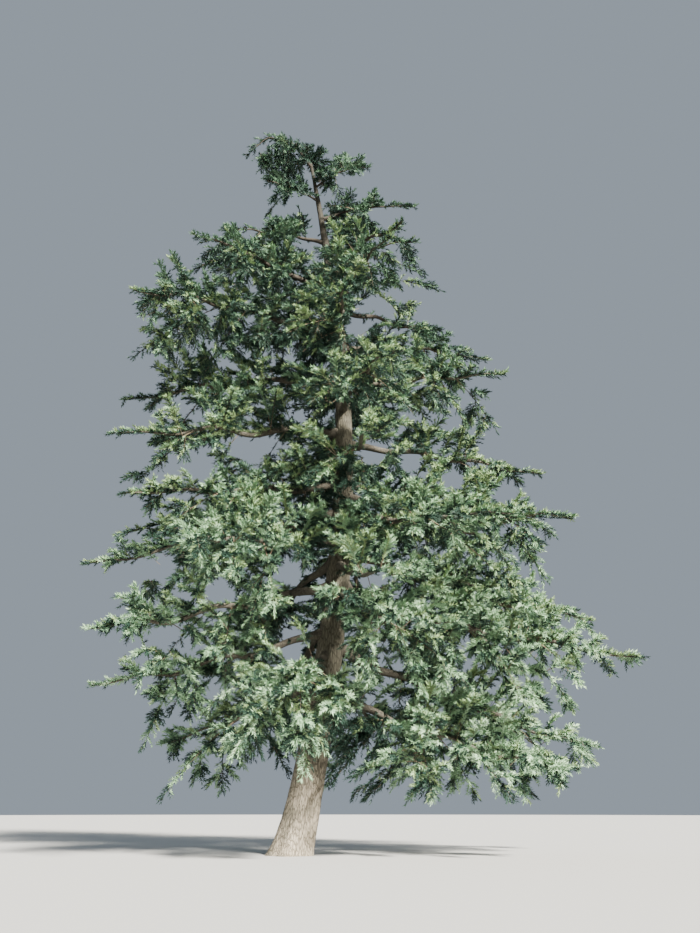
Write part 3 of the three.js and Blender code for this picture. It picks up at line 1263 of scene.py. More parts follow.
    def clump_ribs(self, mains: Strands) -> Strands:
        """Grows a rib to every clump of foliage, from the nearest limb or main twig.

        Args:
            mains: the main twigs.

        Returns:
            The ribs.
        """
        rule = self.rib
        spots, headings, owners, on_twig = self.anchors(mains)
        points, owner = self.clumps(spots[on_twig], owners[on_twig])
        foot = np.empty(len(points), dtype=int)
        for chunk, step, foreign in self.steps(points, owner, spots, owners):
            gap = np.linalg.norm(step, axis=-1)
            turn = 1 - (step * headings[None]).sum(-1) / np.maximum(gap, TINY)
            detour = rule.length_cost * np.abs(gap - rule.best_length)
            cost = gap * (1 + rule.turn_cost * turn) + detour
            cost[foreign] = np.inf
            foot[chunk] = cost.argmin(axis=1)
        root = spots[foot]
        outwards = unit(unit(points - root) + headings[foot] * rule.pull)
        end = points + outwards * rule.beyond
        straight = np.linalg.norm(end - root, axis=1)
        lifted = end - root + UPWARDS * (rule.sag * straight)[:, None]
        length = np.linalg.norm(lifted, axis=1)
        ribs = Strands(
            root=root,
            along=unit(lifted),
            length=length,
            sag=rule.sag * straight / length,
            girth=rule.girth * rising(rule.clump_girth, length),
            limb=owner,
            core=root,
        )
        return ribs.pick((length > rule.least) & (length < rule.most) & in_box(end, 0.0))

    def grown_branchlets(self) -> Strands:
        """Grows the pads of branchlets at the ends of the ribs, and a few along their inner parts.

        Returns:
            The branchlets that keep to their space.
        """
        rng, rule, ribs = self.rng, self.pad, self.ribs
        pads = np.full(len(ribs), round(rule.length / rule.step))
        rows, order, out = dealt(pads, rng, rule.jitter)
        pad_from = np.maximum(rule.start, 1 - rule.length / ribs.length)
        share = pad_from[rows] + (1 - pad_from[rows]) * out
        counts = np.maximum(0, np.round((ribs.length - rule.length) / rule.inner_step)).astype(int)
        inner, inner_order, inner_share = dealt(counts, rng, rule.inner_jitter)
        inner_share = rule.inner_start + inner_share * (pad_from[inner] - rule.inner_start)
        rows = np.concatenate([rows, inner])
        order = np.concatenate([order, inner_order])
        out = np.concatenate([out, np.full(len(inner), rule.inner_out)])
        share = np.concatenate([share, inner_share])
        side = np.where((order + rows) % 2, 1.0, -1.0)
        spread = mix(rule.spread_root, rule.spread_tip, out)
        spread = spread * rng.uniform(*rule.spread_factor, len(rows))
        heading = ribs.heading(rows, share)
        across, over = sides_of(heading)
        along = heading * np.cos(spread)[:, None] + across * (side * np.sin(spread))[:, None]
        along = along + over * rng.normal(0, rule.fluff, len(rows))[:, None]
        along = unit(along + UPWARDS * rule.perk)
        swell = rising(rule.swell, np.sin(np.pi * rising(rule.swell_arc, out)))
        length = rng.uniform(*rule.branchlet, len(rows)) * swell
        branchlets = Strands(
            root=ribs.at(rows, share),
            along=along,
            length=length,
            sag=rng.uniform(*rule.sag, len(rows)),
            girth=self.branchlet_girth * (rule.girth_base + length),
            limb=ribs.limb[rows],
            core=ribs.core[rows],
        )
        return branchlets.pick(self.keeps(branchlets, rule.emptied))

    def limb_sprays(self) -> Strands:
        """Grows short sprays that clothe the limbs themselves.

        Returns:
            The sprays that keep to their space.
        """
        rng, rule = self.rng, self.coat
        grown = []
        for number, limb in enumerate(self.limbs):
            start = max(limb.bare * rule.bare_share, rule.start)
            span = limb.end - start
            count = round(limb.reach * span / rule.step)
            for i in range(count):
                share = start + span * ((i + rng.random()) / count) ** rule.crowding
                heading = limb.heading(share)
                side = heading.cross(UP).normalized()
                turn = rng.uniform(-rule.turn, rule.turn)
                lean = rng.uniform(*rule.lean)
                out = side * math.sin(turn) + side.cross(heading) * math.cos(turn)
                along = heading * math.cos(lean) + out * math.sin(lean)
                cut = rule.tip_cut * (share / limb.end) ** rule.tip_power
                length = rng.uniform(*rule.length) * (1 - cut)
                root = limb.at(share)
                grown.append((root, along, length, number, root - UP * self.core_drop))
        root, along, length, limb, core = map(np.array, zip(*grown))
        sprays = Strands(
            root=root,
            along=along,
            length=length,
            sag=rng.uniform(*rule.sag, len(grown)),
            girth=np.full(len(grown), self.branchlet_girth),
            limb=limb,
            core=core,
        )
        return sprays.pick(self.keeps(sprays, rule.emptied))

    def keeps(self, strands: Strands, emptied: float) -> np.ndarray:
        """Tests which twigs stay in their space, above the ground and off the trunk.

        Args:
            strands: the twigs.
            emptied: how many of those in a gap of the crown are left out.

        Returns:
            A mask.
        """
        rows = np.arange(len(strands))
        tips = strands.at(rows, np.ones(len(strands)))
        middles = strands.at(rows, np.full(len(strands), self.probe))
        away = self.from_heart(tips)
        clear = away > self.trunk_clear * (1 - tips[:, 2] / self.trunk_end)
        clear &= tips[:, 2] > self.spaces.headroom - self.ground_margin
        overhang = self.overhang + self.trunk_overhang * np.clip(1 - away / self.trunk_reach, 0, 1)
        overhang = overhang + self.thicket_overhang * in_thicket(tips)
        inside = self.spaces.margins(tips, strands.limb, self.drop) > -overhang
        emptied = self.rng.random(len(tips)) < emptied
        shown = (in_opening(tips) | in_opening(middles)) & emptied
        return clear & inside & in_box(tips, self.box_margin) & ~shown


@dataclass(frozen=True)
class NeedleForm:
    """The needles: whorls of them along every branchlet, each needle one long triangle."""

    step: float = 0.0305
    least: int = 2
    jitter: float = 0.5
    whorl: int = 3
    length: float = 0.104
    length_factor: Pair = (0.8, 1.12)
    tip_cut: float = 0.22
    half_width: float = 0.0126
    lean: Pair = (math.radians(24), math.radians(60))
    tip_closing: float = 0.55
    tip_power: int = 4
    lift: float = 0.12
    twist: float = 0.6

    def corners(self, strands: Strands, rng: np.random.Generator, start: float) -> np.ndarray:
        """Sets needles along twigs.

        Args:
            strands: the twigs.
            rng: the source of chance.
            start: where along a twig they begin.

        Returns:
            The corners of each needle.
        """
        counts = np.maximum(self.least, np.round(strands.length * (1 - start) / self.step))
        rows, _, share = dealt(counts.astype(int), rng, self.jitter)
        share = start + (1 - start) * share
        rows, share = np.repeat(rows, self.whorl), np.repeat(share, self.whorl)
        foot, heading = strands.at(rows, share), strands.heading(rows, share)
        level, over = sides_of(heading)
        count, part = len(rows), 2 * np.pi / self.whorl
        turn = np.tile(np.arange(self.whorl), count // self.whorl) * part
        turn = turn + rng.uniform(0, part, count)
        lean = rng.uniform(*self.lean, count) * (1 - self.tip_closing * share**self.tip_power)
        out = level * np.cos(turn)[:, None] + over * np.sin(turn)[:, None]
        point = heading * np.cos(lean)[:, None] + out * np.sin(lean)[:, None]
        point = unit(point + UPWARDS * self.lift)
        around = unit(np.cross(foot - strands.core[rows], point) + TINY)
        twist = rng.uniform(-self.twist, self.twist, (count, 1))
        aside = unit(around + np.cross(point, around) * twist) * self.half_width
        long = self.length * rng.uniform(*self.length_factor, count) * (1 - self.tip_cut * share)
        return np.stack([foot + aside, foot - aside, foot + point * long[:, None]], axis=1)


LAST_RING = 0.94


def tubes(strands: Strands, sides: int, rings: int, tip: float) -> tuple[np.ndarray, np.ndarray]:
    """Makes a thin tapering tube of every twig, closed at its foot and pointed.

    Args:
        strands: the twigs.
        sides: how many sides each has.
        rings: how many rings of points.
        tip: the radius at the last ring over that at the first.

    Returns:
        The points, and the triangles between them.
    """
    count = len(strands)
    per = sides * rings + 1
    points = np.empty((count, per, 3))
    rows = np.arange(count)
    for ring in range(rings):
        share = np.full(count, LAST_RING * ring / max(rings - 1, 1))
        level, over = sides_of(strands.heading(rows, share))
        centre = strands.at(rows, share)
        radius = strands.girth * (1 + (tip - 1) * share)
        for k in range(sides):
            turn = 2 * math.pi * k / sides
            out = level * math.cos(turn) + over * math.sin(turn)
            points[:, ring * sides + k] = centre + out * radius[:, None]
    points[:, -1] = strands.at(rows, np.ones(count))
    faces = [(0, k + 1, k) for k in range(1, sides - 1)]
    for ring in range(rings - 1):
        for k in range(sides):
            a, b = ring * sides + k, ring * sides + (k + 1) % sides
            faces += [(a, b, b + sides), (a, b + sides, a + sides)]
    last = (rings - 1) * sides
    faces += [(last + k, last + (k + 1) % sides, per - 1) for k in range(sides)]
    triangles = np.array(faces)[None] + (np.arange(count) * per)[:, None, None]
    return points.reshape(-1, 3), triangles.reshape(-1, 3)


def mesh_from_arrays(name: str, points: np.ndarray, triangles: np.ndarray) -> bpy.types.Mesh:
    """Makes a mesh of many small triangles.

    Args:
        name: the mesh's name.
        points: its points.
        triangles: three rows of points for each.

    Returns:
        The mesh.
    """
    mesh = bpy.data.meshes.new(name)
    count = len(triangles)
    mesh.vertices.add(len(points))
    mesh.vertices.foreach_set("co", points.astype(np.float32).ravel())
    mesh.loops.add(3 * count)
    mesh.loops.foreach_set("vertex_index", triangles.astype(np.int32).ravel())
    mesh.polygons.add(count)
    mesh.polygons.foreach_set("loop_start", np.arange(0, 3 * count, 3, dtype=np.int32))
    mesh.update(calc_edges=True)
    return mesh


def merged(name: str, shapes: Iterable[bmesh.types.BMesh]) -> bpy.types.Mesh:
    """Joins closed shapes as one mesh.

    Args:
        name: the mesh's name.
        shapes: the shapes, which are used up.

    Returns:
        The mesh.
    """
    mesh = bpy.data.meshes.new(name)
    whole = bmesh.new()
    for shape in shapes:
        shape.to_mesh(mesh)
        shape.free()
        whole.from_mesh(mesh)
    whole.to_mesh(mesh)
    whole.free()
    return mesh


def swept(sides: int, rings: int, place: Place) -> bmesh.types.BMesh:
    """Makes a closed tube whose points are put in place one by one.

    Args:
        sides: how many sides it has.
        rings: how many steps along it.
        place: gets the share of the length and the point of the unit circle.

    Returns:
        The tube.
    """
    bm = bmesh.new()
    bmesh.ops.create_cone(bm, cap_ends=True, segments=sides, radius1=1, radius2=1, depth=1)
    upright = [edge for edge in bm.edges if abs(edge.verts[0].co.z - edge.verts[1].co.z) > 0.5]
    bmesh.ops.subdivide_edges(bm, edges=upright, cuts=rings - 1, use_grid_fill=True)
    for vert in bm.verts:
        vert.co = place(vert.co.z + 0.5, vert.co.x, vert.co.y)
    bmesh.ops.recalc_face_normals(bm, faces=bm.faces)
    return bm


class Nodes:
    """Builds the nodes of one material.

    The colours of a mix node share their sockets' names with its numbers, so they go by place.
    """

    MIX_INPUTS = (0, 6, 7)
    MIX_OUTPUT = 2

    def __init__(self, name: str) -> None:
        """Starts a material with a plain shader.

        Args:
            name: the material's name.
        """
        self.material = bpy.data.materials.new(name)
        self.material.use_nodes = True
        self.tree = self.material.node_tree
        self.shader = self.tree.nodes["Principled BSDF"]

    def add(self, kind: str, **inputs: object) -> bpy.types.Node:
        """Adds a node.

        Args:
            kind: its type, without the ShaderNode before it.
            inputs: values and sockets for its inputs, by their names with _ for a space.

        Returns:
            The node.
        """
        node = self.tree.nodes.new("ShaderNode" + kind)
        for name, value in inputs.items():
            self.feed(node, name.replace("_", " "), value)
        return node

    def feed(self, node: bpy.types.Node, name: str | int, value: object) -> None:
        """Sets or links one input of a node.

        Args:
            node: the node.
            name: the input's name or place.
            value: a value, or the socket that feeds it.
        """
        target = node.inputs[name]
        if isinstance(value, Socket):
            self.tree.links.new(value, target)
        else:
            target.default_value = value

    def ramp(self, factor: Socket, places: Row, colours: tuple[Colour, ...]) -> Socket:
        """Adds a colour ramp.

        Args:
            factor: what drives it.
            places: where each colour stands.
            colours: the colours.

        Returns:
            The colour.
        """
        node = self.add("ValToRGB", Fac=factor)
        elements = node.color_ramp.elements
        while len(elements) < len(places):
            elements.new(0.5)
        for element, place, colour in zip(elements, places, colours):
            element.position = place
            element.color = (*colour, 1)
        return node.outputs["Color"]

    def blend(self, factor: Socket, first: Socket | Colour, second: Socket | Colour) -> Socket:
        """Mixes two colours.

        Args:
            factor: how much of the second.
            first: a colour or socket.
            second: a colour or socket.

        Returns:
            The mixed colour.
        """
        node = self.tree.nodes.new("ShaderNodeMix")
        node.data_type = "RGBA"
        for place, value in zip(self.MIX_INPUTS, (factor, first, second)):
            self.feed(node, place, value if isinstance(value, Socket) else (*value, 1))
        return node.outputs[self.MIX_OUTPUT]

    def times(self, first: Socket, second: Socket) -> Socket:
        """Multiplies two values.

        Args:
            first: the one.
            second: the other.

        Returns:
            The product.
        """
        node = self.add("Math", Value=first)
        node.operation = "MULTIPLY"
        self.feed(node, 1, second)
        return node.outputs["Value"]


@dataclass(frozen=True)
class BarkFinish:
    """Grey-brown bark in fine upright plates, paler at the foot, partly its own tone and partly
    painted light, and darker inside the crown as painted shade.
    """

    name: str
    colours: tuple[Colour, Colour, Colour]
    # Partly painted light: the paler foot colours are partly the bark's own tone and partly the
    # light on a sunlit foot below the shaded trunk.
    foot: tuple[Colour, Colour, Colour]
    foot_top: float
    # Painted shade: inside the crown the bark blends towards this dark colour, upwards from the
    # height that follows.
    crown: Colour
    crown_shade_from: float
    stretch: float
    grain: float

    FIBRE_GRAIN = 2.2
    FIBRES = {"Detail": 6, "Roughness": 0.65}
    PATCHES = {"Scale": 1.7, "Detail": 4, "Roughness": 0.6}
    STOPS = (0.28, 0.5, 0.74)
    FOOT_STOPS = (0.36, 0.47, 0.66)
    SPOT_STOPS = (0.36, 0.5)
    SPOTS = ((0.3, 0.3, 0.3), (1, 1, 1))
    CRACK = 0.12
    FOOT_FULL = 0.35
    # How far above its start the painted shade of the crown is full, and how much of the dark
    # colour it takes.
    CROWN_SHADE_FADE = 2
    CROWN_SHADE_SHARE = 0.9
    ROUGHNESS = 0.92
    GLOSS = 0.25
    BUMP = 0.7
    BUMP_DEPTH = 0.02

    def material(self) -> bpy.types.Material:
        """Builds the material on object coordinates.

        Returns:
            The material.
        """
        nodes = Nodes(self.name)
        place = nodes.add("TexCoord").outputs["Object"]
        height = nodes.add("SeparateXYZ", Vector=place).outputs["Z"]
        drawn = nodes.add("Mapping", Vector=place, Scale=(1, 1, self.stretch)).outputs["Vector"]
        plates = nodes.add("TexVoronoi", Vector=drawn, Scale=self.grain)
        plates.feature = "DISTANCE_TO_EDGE"
        grain = self.grain * self.FIBRE_GRAIN
        fibres = nodes.add("TexNoise", Vector=drawn, Scale=grain, **self.FIBRES).outputs["Fac"]
        patches = nodes.add("TexNoise", Vector=place, **self.PATCHES).outputs["Fac"]
        cracks = nodes.add("MapRange", Value=plates.outputs["Distance"], From_Max=self.CRACK)
        cracks = cracks.outputs["Result"]
        # The paler foot, partly the bark's own tone and partly painted light, fades in below
        # foot_top.
        top, full = self.foot_top, self.foot_top * self.FOOT_FULL
        low = nodes.add("MapRange", Value=height, From_Min=top, From_Max=full)
        low.interpolation_type = "SMOOTHSTEP"
        # Painted shade: upwards from its start the bark darkens towards the crown colour, for the
        # foliage's shade on it.
        start, end = self.crown_shade_from, self.crown_shade_from + self.CROWN_SHADE_FADE
        shaded = nodes.add(
            "MapRange", Value=height, From_Min=start, From_Max=end, To_Max=self.CROWN_SHADE_SHARE
        )
        bark = nodes.blend(cracks, self.colours[0], nodes.ramp(fibres, self.STOPS, self.colours))
        bark = nodes.blend(shaded.outputs["Result"], bark, self.crown)
        foot = nodes.blend(cracks, self.foot[0], nodes.ramp(fibres, self.FOOT_STOPS, self.foot))
        spots = nodes.ramp(patches, self.SPOT_STOPS, self.SPOTS)
        colour = nodes.blend(nodes.times(low.outputs["Result"], spots), bark, foot)
        relief = nodes.times(fibres, cracks)
        bump = nodes.add("Bump", Strength=self.BUMP, Distance=self.BUMP_DEPTH, Height=relief)
        nodes.feed(nodes.shader, "Base Color", colour)
        nodes.feed(nodes.shader, "Roughness", self.ROUGHNESS)
        nodes.feed(nodes.shader, "Specular IOR Level", self.GLOSS)
        nodes.feed(nodes.shader, "Normal", bump.outputs["Normal"])
        return nodes.material


@dataclass(frozen=True)
class PlainFinish:
    """One base colour all over, as on a spray of needles or a thin twig."""

    name: str
    colour: Colour
    roughness: float
    gloss: float

    def material(self) -> bpy.types.Material:
        """Builds the material.

        Returns:
            The material.
        """
        nodes = Nodes(self.name)
        nodes.feed(nodes.shader, "Base Color", (*self.colour, 1))
        nodes.feed(nodes.shader, "Roughness", self.roughness)
        nodes.feed(nodes.shader, "Specular IOR Level", self.gloss)
        return nodes.material


TRUNK_BARK = BarkFinish(
    name="trunk bark",
    colours=((0.044, 0.041, 0.030), (0.098, 0.091, 0.066), (0.165, 0.154, 0.116)),
    # The pale foot: partly the bark's own tone, partly painted light.
    foot=((0.100, 0.085, 0.062), (0.265, 0.228, 0.172), (0.400, 0.350, 0.272)),
    foot_top=2.4,
    # Painted shade: the trunk darkens to this colour inside the crown.
    crown=(0.030, 0.027, 0.021),
    crown_shade_from=9.0,
    stretch=0.22,
    grain=21.0,
)
BOUGH_BARK = BarkFinish(
    name="bough bark",
    colours=((0.042, 0.037, 0.029), (0.100, 0.091, 0.070), (0.170, 0.156, 0.122)),
    foot=((0.10, 0.085, 0.068),) * 3,
    foot_top=0.1,
    # Painted shade: the limbs darken to this colour high in the crown.
    crown=(0.045, 0.038, 0.030),
    crown_shade_from=10.5,
    stretch=1.0,
    grain=26.0,
)
TWIG_WOOD = PlainFinish("twig wood", (0.12, 0.09, 0.06), 0.85, 0.25)
FLOOR_PAINT = PlainFinish("pale floor", (0.36, 0.36, 0.35), 0.9, 0.2)


def keep(piece: bpy.types.Object, slot: Slot, nodes: list[str]) -> None:
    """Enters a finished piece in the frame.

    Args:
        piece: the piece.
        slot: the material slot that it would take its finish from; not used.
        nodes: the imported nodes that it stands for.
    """
    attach(piece, BODY)
    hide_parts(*nodes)
    log.info("%s: %d faces for %d nodes", piece.name, len(piece.data.polygons), len(nodes))


def placed(mesh: bpy.types.Mesh, material: bpy.types.Material, smooth: bool) -> bpy.types.Object:
    """Puts a mesh in the scene as one object at the origin.

    Args:
        mesh: the mesh.
        material: its material.
        smooth: whether its faces are shaded as one skin.

    Returns:
        The object.
    """
    mesh.materials.append(material)
    mesh.polygons.foreach_set("use_smooth", np.full(len(mesh.polygons), smooth))
    piece = bpy.data.objects.new(mesh.name, mesh)
    bpy.context.scene.collection.objects.link(piece)
    return piece


@dataclass
class TrunkPiece:
    """The trunk with its bark's relief, its knots and the stub of a sawn-off limb."""

    sides: int = 150
    rings: int = 430
    crowding: float = 1.35
    furrows: float = 6.2
    furrow_stretch: float = 2.6
    furrow_depth: float = 0.011
    wander: float = 0.9
    wander_grain: Pair = (2, 1.1)
    crumb_grain: float = 2.7
    crumb_share: float = 0.45
    crumb_shift: float = 9
    swell_grain: Pair = (1.3, 0.9)
    swell_shift: float = 30
    swell_depth: float = 0.016
    thin_bark: float = 0.35
    thinnest: float = 0.012
    knots: tuple[tuple[float, float, float, float], ...] = (
        (1.35, -62, 0.10, 0.035),
        (2.55, -120, 0.09, 0.03),
        (3.0, -35, 0.08, 0.03),
        (0.75, 150, 0.09, 0.025),
        (1.9, 60, 0.10, 0.03),
    )
    knot_spread: float = 3
    knot_squash: float = 0.85
    knot_lip: Pair = (0.75, 0.12)
    knot_hollow: Pair = (0.35, 0.2)
    stub_sides: int = 20
    stub_rings: int = 24
    stub_flare: float = 0.25
    stub_rough: float = 0.08
    stub_grain: Pair = (2, 7)
    stub_height: float = 2.1
    stub_azimuth: float = math.radians(212)
    stub_length: float = 0.6
    stub_radius: float = 0.06
    stub_rise: float = 0.35

    def relief(self, turn: float, height: float) -> float:
        """Finds how far the bark stands proud.

        Args:
            turn: the angle round the trunk, from -Y.
            height: metres above the ground.

        Returns:
            Metres outwards.
        """
        ring = Vector((math.cos(turn), math.sin(turn), 0))
        girth = TRUNK.radius(height) / TRUNK.girth
        fine = ring * self.furrows * girth + UP * height * self.furrow_stretch
        around, along = self.wander_grain
        wander = noise.noise(ring * around + UP * height * along) * self.wander
        ridge = 1 - 2 * abs(noise.noise(fine + Vector((wander, -wander, 0))))
        crumbs = noise.noise(fine * self.crumb_grain + UP * self.crumb_shift)
        around, along = self.swell_grain
        swell = noise.noise(ring * around + UP * (height * along + self.swell_shift))
        depth = self.furrow_depth * min(1.0, self.thin_bark + girth * (1 - self.thin_bark))
        rough = ridge - self.crumb_share + self.crumb_share * crumbs
        return depth * rough + self.swell_depth * swell * girth

    def knot(self, turn: float, height: float) -> float:
        """Finds how far the healed scars of lost limbs stand proud.

        Args:
            turn: the angle round the trunk, from -Y.
            height: metres above the ground.

        Returns:
            Metres outwards.
        """
        out = 0.0
        for level, azimuth, size, proud in self.knots:
            if abs(height - level) > self.knot_spread * size:
                continue
            aside = math.remainder(turn - math.radians(azimuth + 90), 2 * math.pi)
            above = (height - level) * self.knot_squash
            away = math.hypot(aside * TRUNK.radius(level), above) / size
            lip = math.exp(-((away - self.knot_lip[0]) ** 2) / self.knot_lip[1])
            hollow = math.exp(-(away**2) / self.knot_hollow[1])
            out += proud * (lip - self.knot_hollow[0] * hollow)
        return out

    def place(self, share: float, x: float, y: float) -> Vector:
        """Puts a point of the trunk in place.

        Args:
            share: how far up its list of rings.
            x: the point of the unit circle, across.
            y: the same, in depth.

        Returns:
            The point.
        """
        height = TRUNK.top * share**self.crowding
        turn = math.atan2(x, -y)
        radius = TRUNK.radius(height) * TRUNK.lobes(turn, height)
        radius += self.relief(turn, height) + self.knot(turn, height)
        outwards = Vector((math.sin(turn), -math.cos(turn), 0))
        return TRUNK.axis(height) + outwards * max(radius, self.thinnest)

    def stub_place(self, share: float, x: float, y: float) -> Vector:
        """Puts a point of the sawn stub in place.

        Args:
            share: how far out.
            x: the point of the unit circle, across.
            y: the same, upwards.

        Returns:
            The point.
        """
        level = (math.cos(self.stub_azimuth), math.sin(self.stub_azimuth))
        along = Vector((*level, self.stub_rise)).normalized()
        side = along.cross(UP).normalized()
        over = side.cross(along)
        root = TRUNK.axis(self.stub_height) + along * (share * self.stub_length)
        around, out = self.stub_grain
        spot = Vector((x * around, y * around, share * out))
        rough = 1 + self.stub_rough * noise.noise(spot)
        flared = self.stub_radius * (1 + self.stub_flare - self.stub_flare * share) * rough
        return root + side * (x * flared) + over * (y * flared)

    def build(self) -> None:
        """Builds the trunk."""
        stem = swept(self.sides, self.rings, self.place)
        stub = swept(self.stub_sides, self.stub_rings, self.stub_place)
        mesh = merged("trunk_bark_relief", (stem, stub))
        keep(placed(mesh, TRUNK_BARK.material(), True), Slot.TRUNK, ["trunk"])


@dataclass
class LimbPieces:
    """The limbs as tapering tubes with the bark's relief, from the trunk's heart to their tips."""

    limbs: list[Limb]
    sides: int = 14
    rings_per_metre: float = 11.0
    relief_depth: float = 0.09
    grain: Pair = (1.6, 3.1)
    fine_grain: float = 2.9
    fine_depth: float = 0.6
    knee: float = 0.05
    knees_per_metre: float = 5.3
    blunt: Pair = (1.05, 5)

    def place(self, limb: Limb, share: float, x: float, y: float) -> Vector:
        """Puts a point of a limb's tube in place.

        Args:
            limb: the limb.
            share: how far along its own length.
            x: the point of the unit circle, to the side.
            y: the same, upwards.

        Returns:
            The point.
        """
        share *= limb.end
        heading = limb.heading(share)
        side = heading.cross(UP).normalized()
        over = side.cross(heading)
        out = share * limb.reach
        around, along = self.grain
        spot = Vector((x * around, y * around, out * along + limb.seed))
        wave = noise.noise(spot) + self.fine_depth * noise.noise(spot * self.fine_grain)
        knee = self.knee * limb.girth * math.sin(out * self.knees_per_metre + limb.seed)
        cut = 1 if limb.end == 1 else min(1.0, (self.blunt[0] - share) * self.blunt[1])
        radius = limb.radius(share) * cut * (1 + self.relief_depth * wave)
        return limb.at(share) + side * (x * radius + knee) + over * (y * radius + knee)

    def joined(self, name: str, limbs: list[Limb], nodes: list[str]) -> None:
        """Builds several limbs as one piece.

        Args:
            name: the piece's name.
            limbs: its limbs.
            nodes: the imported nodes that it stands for.
        """
        shapes = (
            swept(self.sides, round(self.rings_per_metre * limb.reach), partial(self.place, limb))
            for limb in limbs
        )
        keep(placed(merged(name, shapes), BOUGH_BARK.material(), True), Slot.BOUGH, nodes)

    def build(self) -> None:
        """Builds the boughs that show bare, and the limbs that run inside their masses."""
        bare = [limb for limb in self.limbs if limb.bare]
        hidden = [i for i, limb in enumerate(self.limbs) if not limb.bare]
        self.joined("boughs", bare, [f"bough_{i + 1:02d}" for i in range(len(bare))])
        self.joined("limbs", [self.limbs[i] for i in hidden], [foliage_node(i) for i in hidden])


def foliage_node(number: int) -> str:
    """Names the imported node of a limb's mass.

    Args:
        number: the limb's place in the list.

    Returns:
        The node's name.
    """
    return f"foliage_{number + 1:02d}"


@dataclass(frozen=True)
class TintRule:
    """Where each tint falls: pale low down, yellow higher up, and darker tints as painted shade
    inside the crown and under the clumps.
    """

    tree_height: float = 17.5
    loose: float = 0.35
    clump_depth: float = 0.3
    patch_depth: float = 0.22
    low_pale: float = 0.85
    pale_height: float = 0.42
    pale_from: float = 0.3
    frosted_from: float = 0.7
    yellow: Pair = (0.04, 0.35)
    yellow_height: Pair = (0.3, 0.3)
    yellow_patch: float = 0.6
    yellow_share: float = 0.6
    # Painted shade: sprays nearer the trunk than this share of their limb's reach get the darkest
    # tint, and the share grows with the spray's chance.
    inner: Pair = (0.2, 0.24)
    # Painted shade under the clumps: sprays whose tips end less than this above their spray's
    # middle are mostly made darker, some of them get the darkest tint (more of them higher up), and
    # a few sprays anywhere get it at random.
    under_height: float = 0.1
    under_share: float = 0.85
    shaded: Pair = (0.5, 0.3)
    shaded_height: Pair = (0.25, 0.25)
    stray_shade: float = 0.06


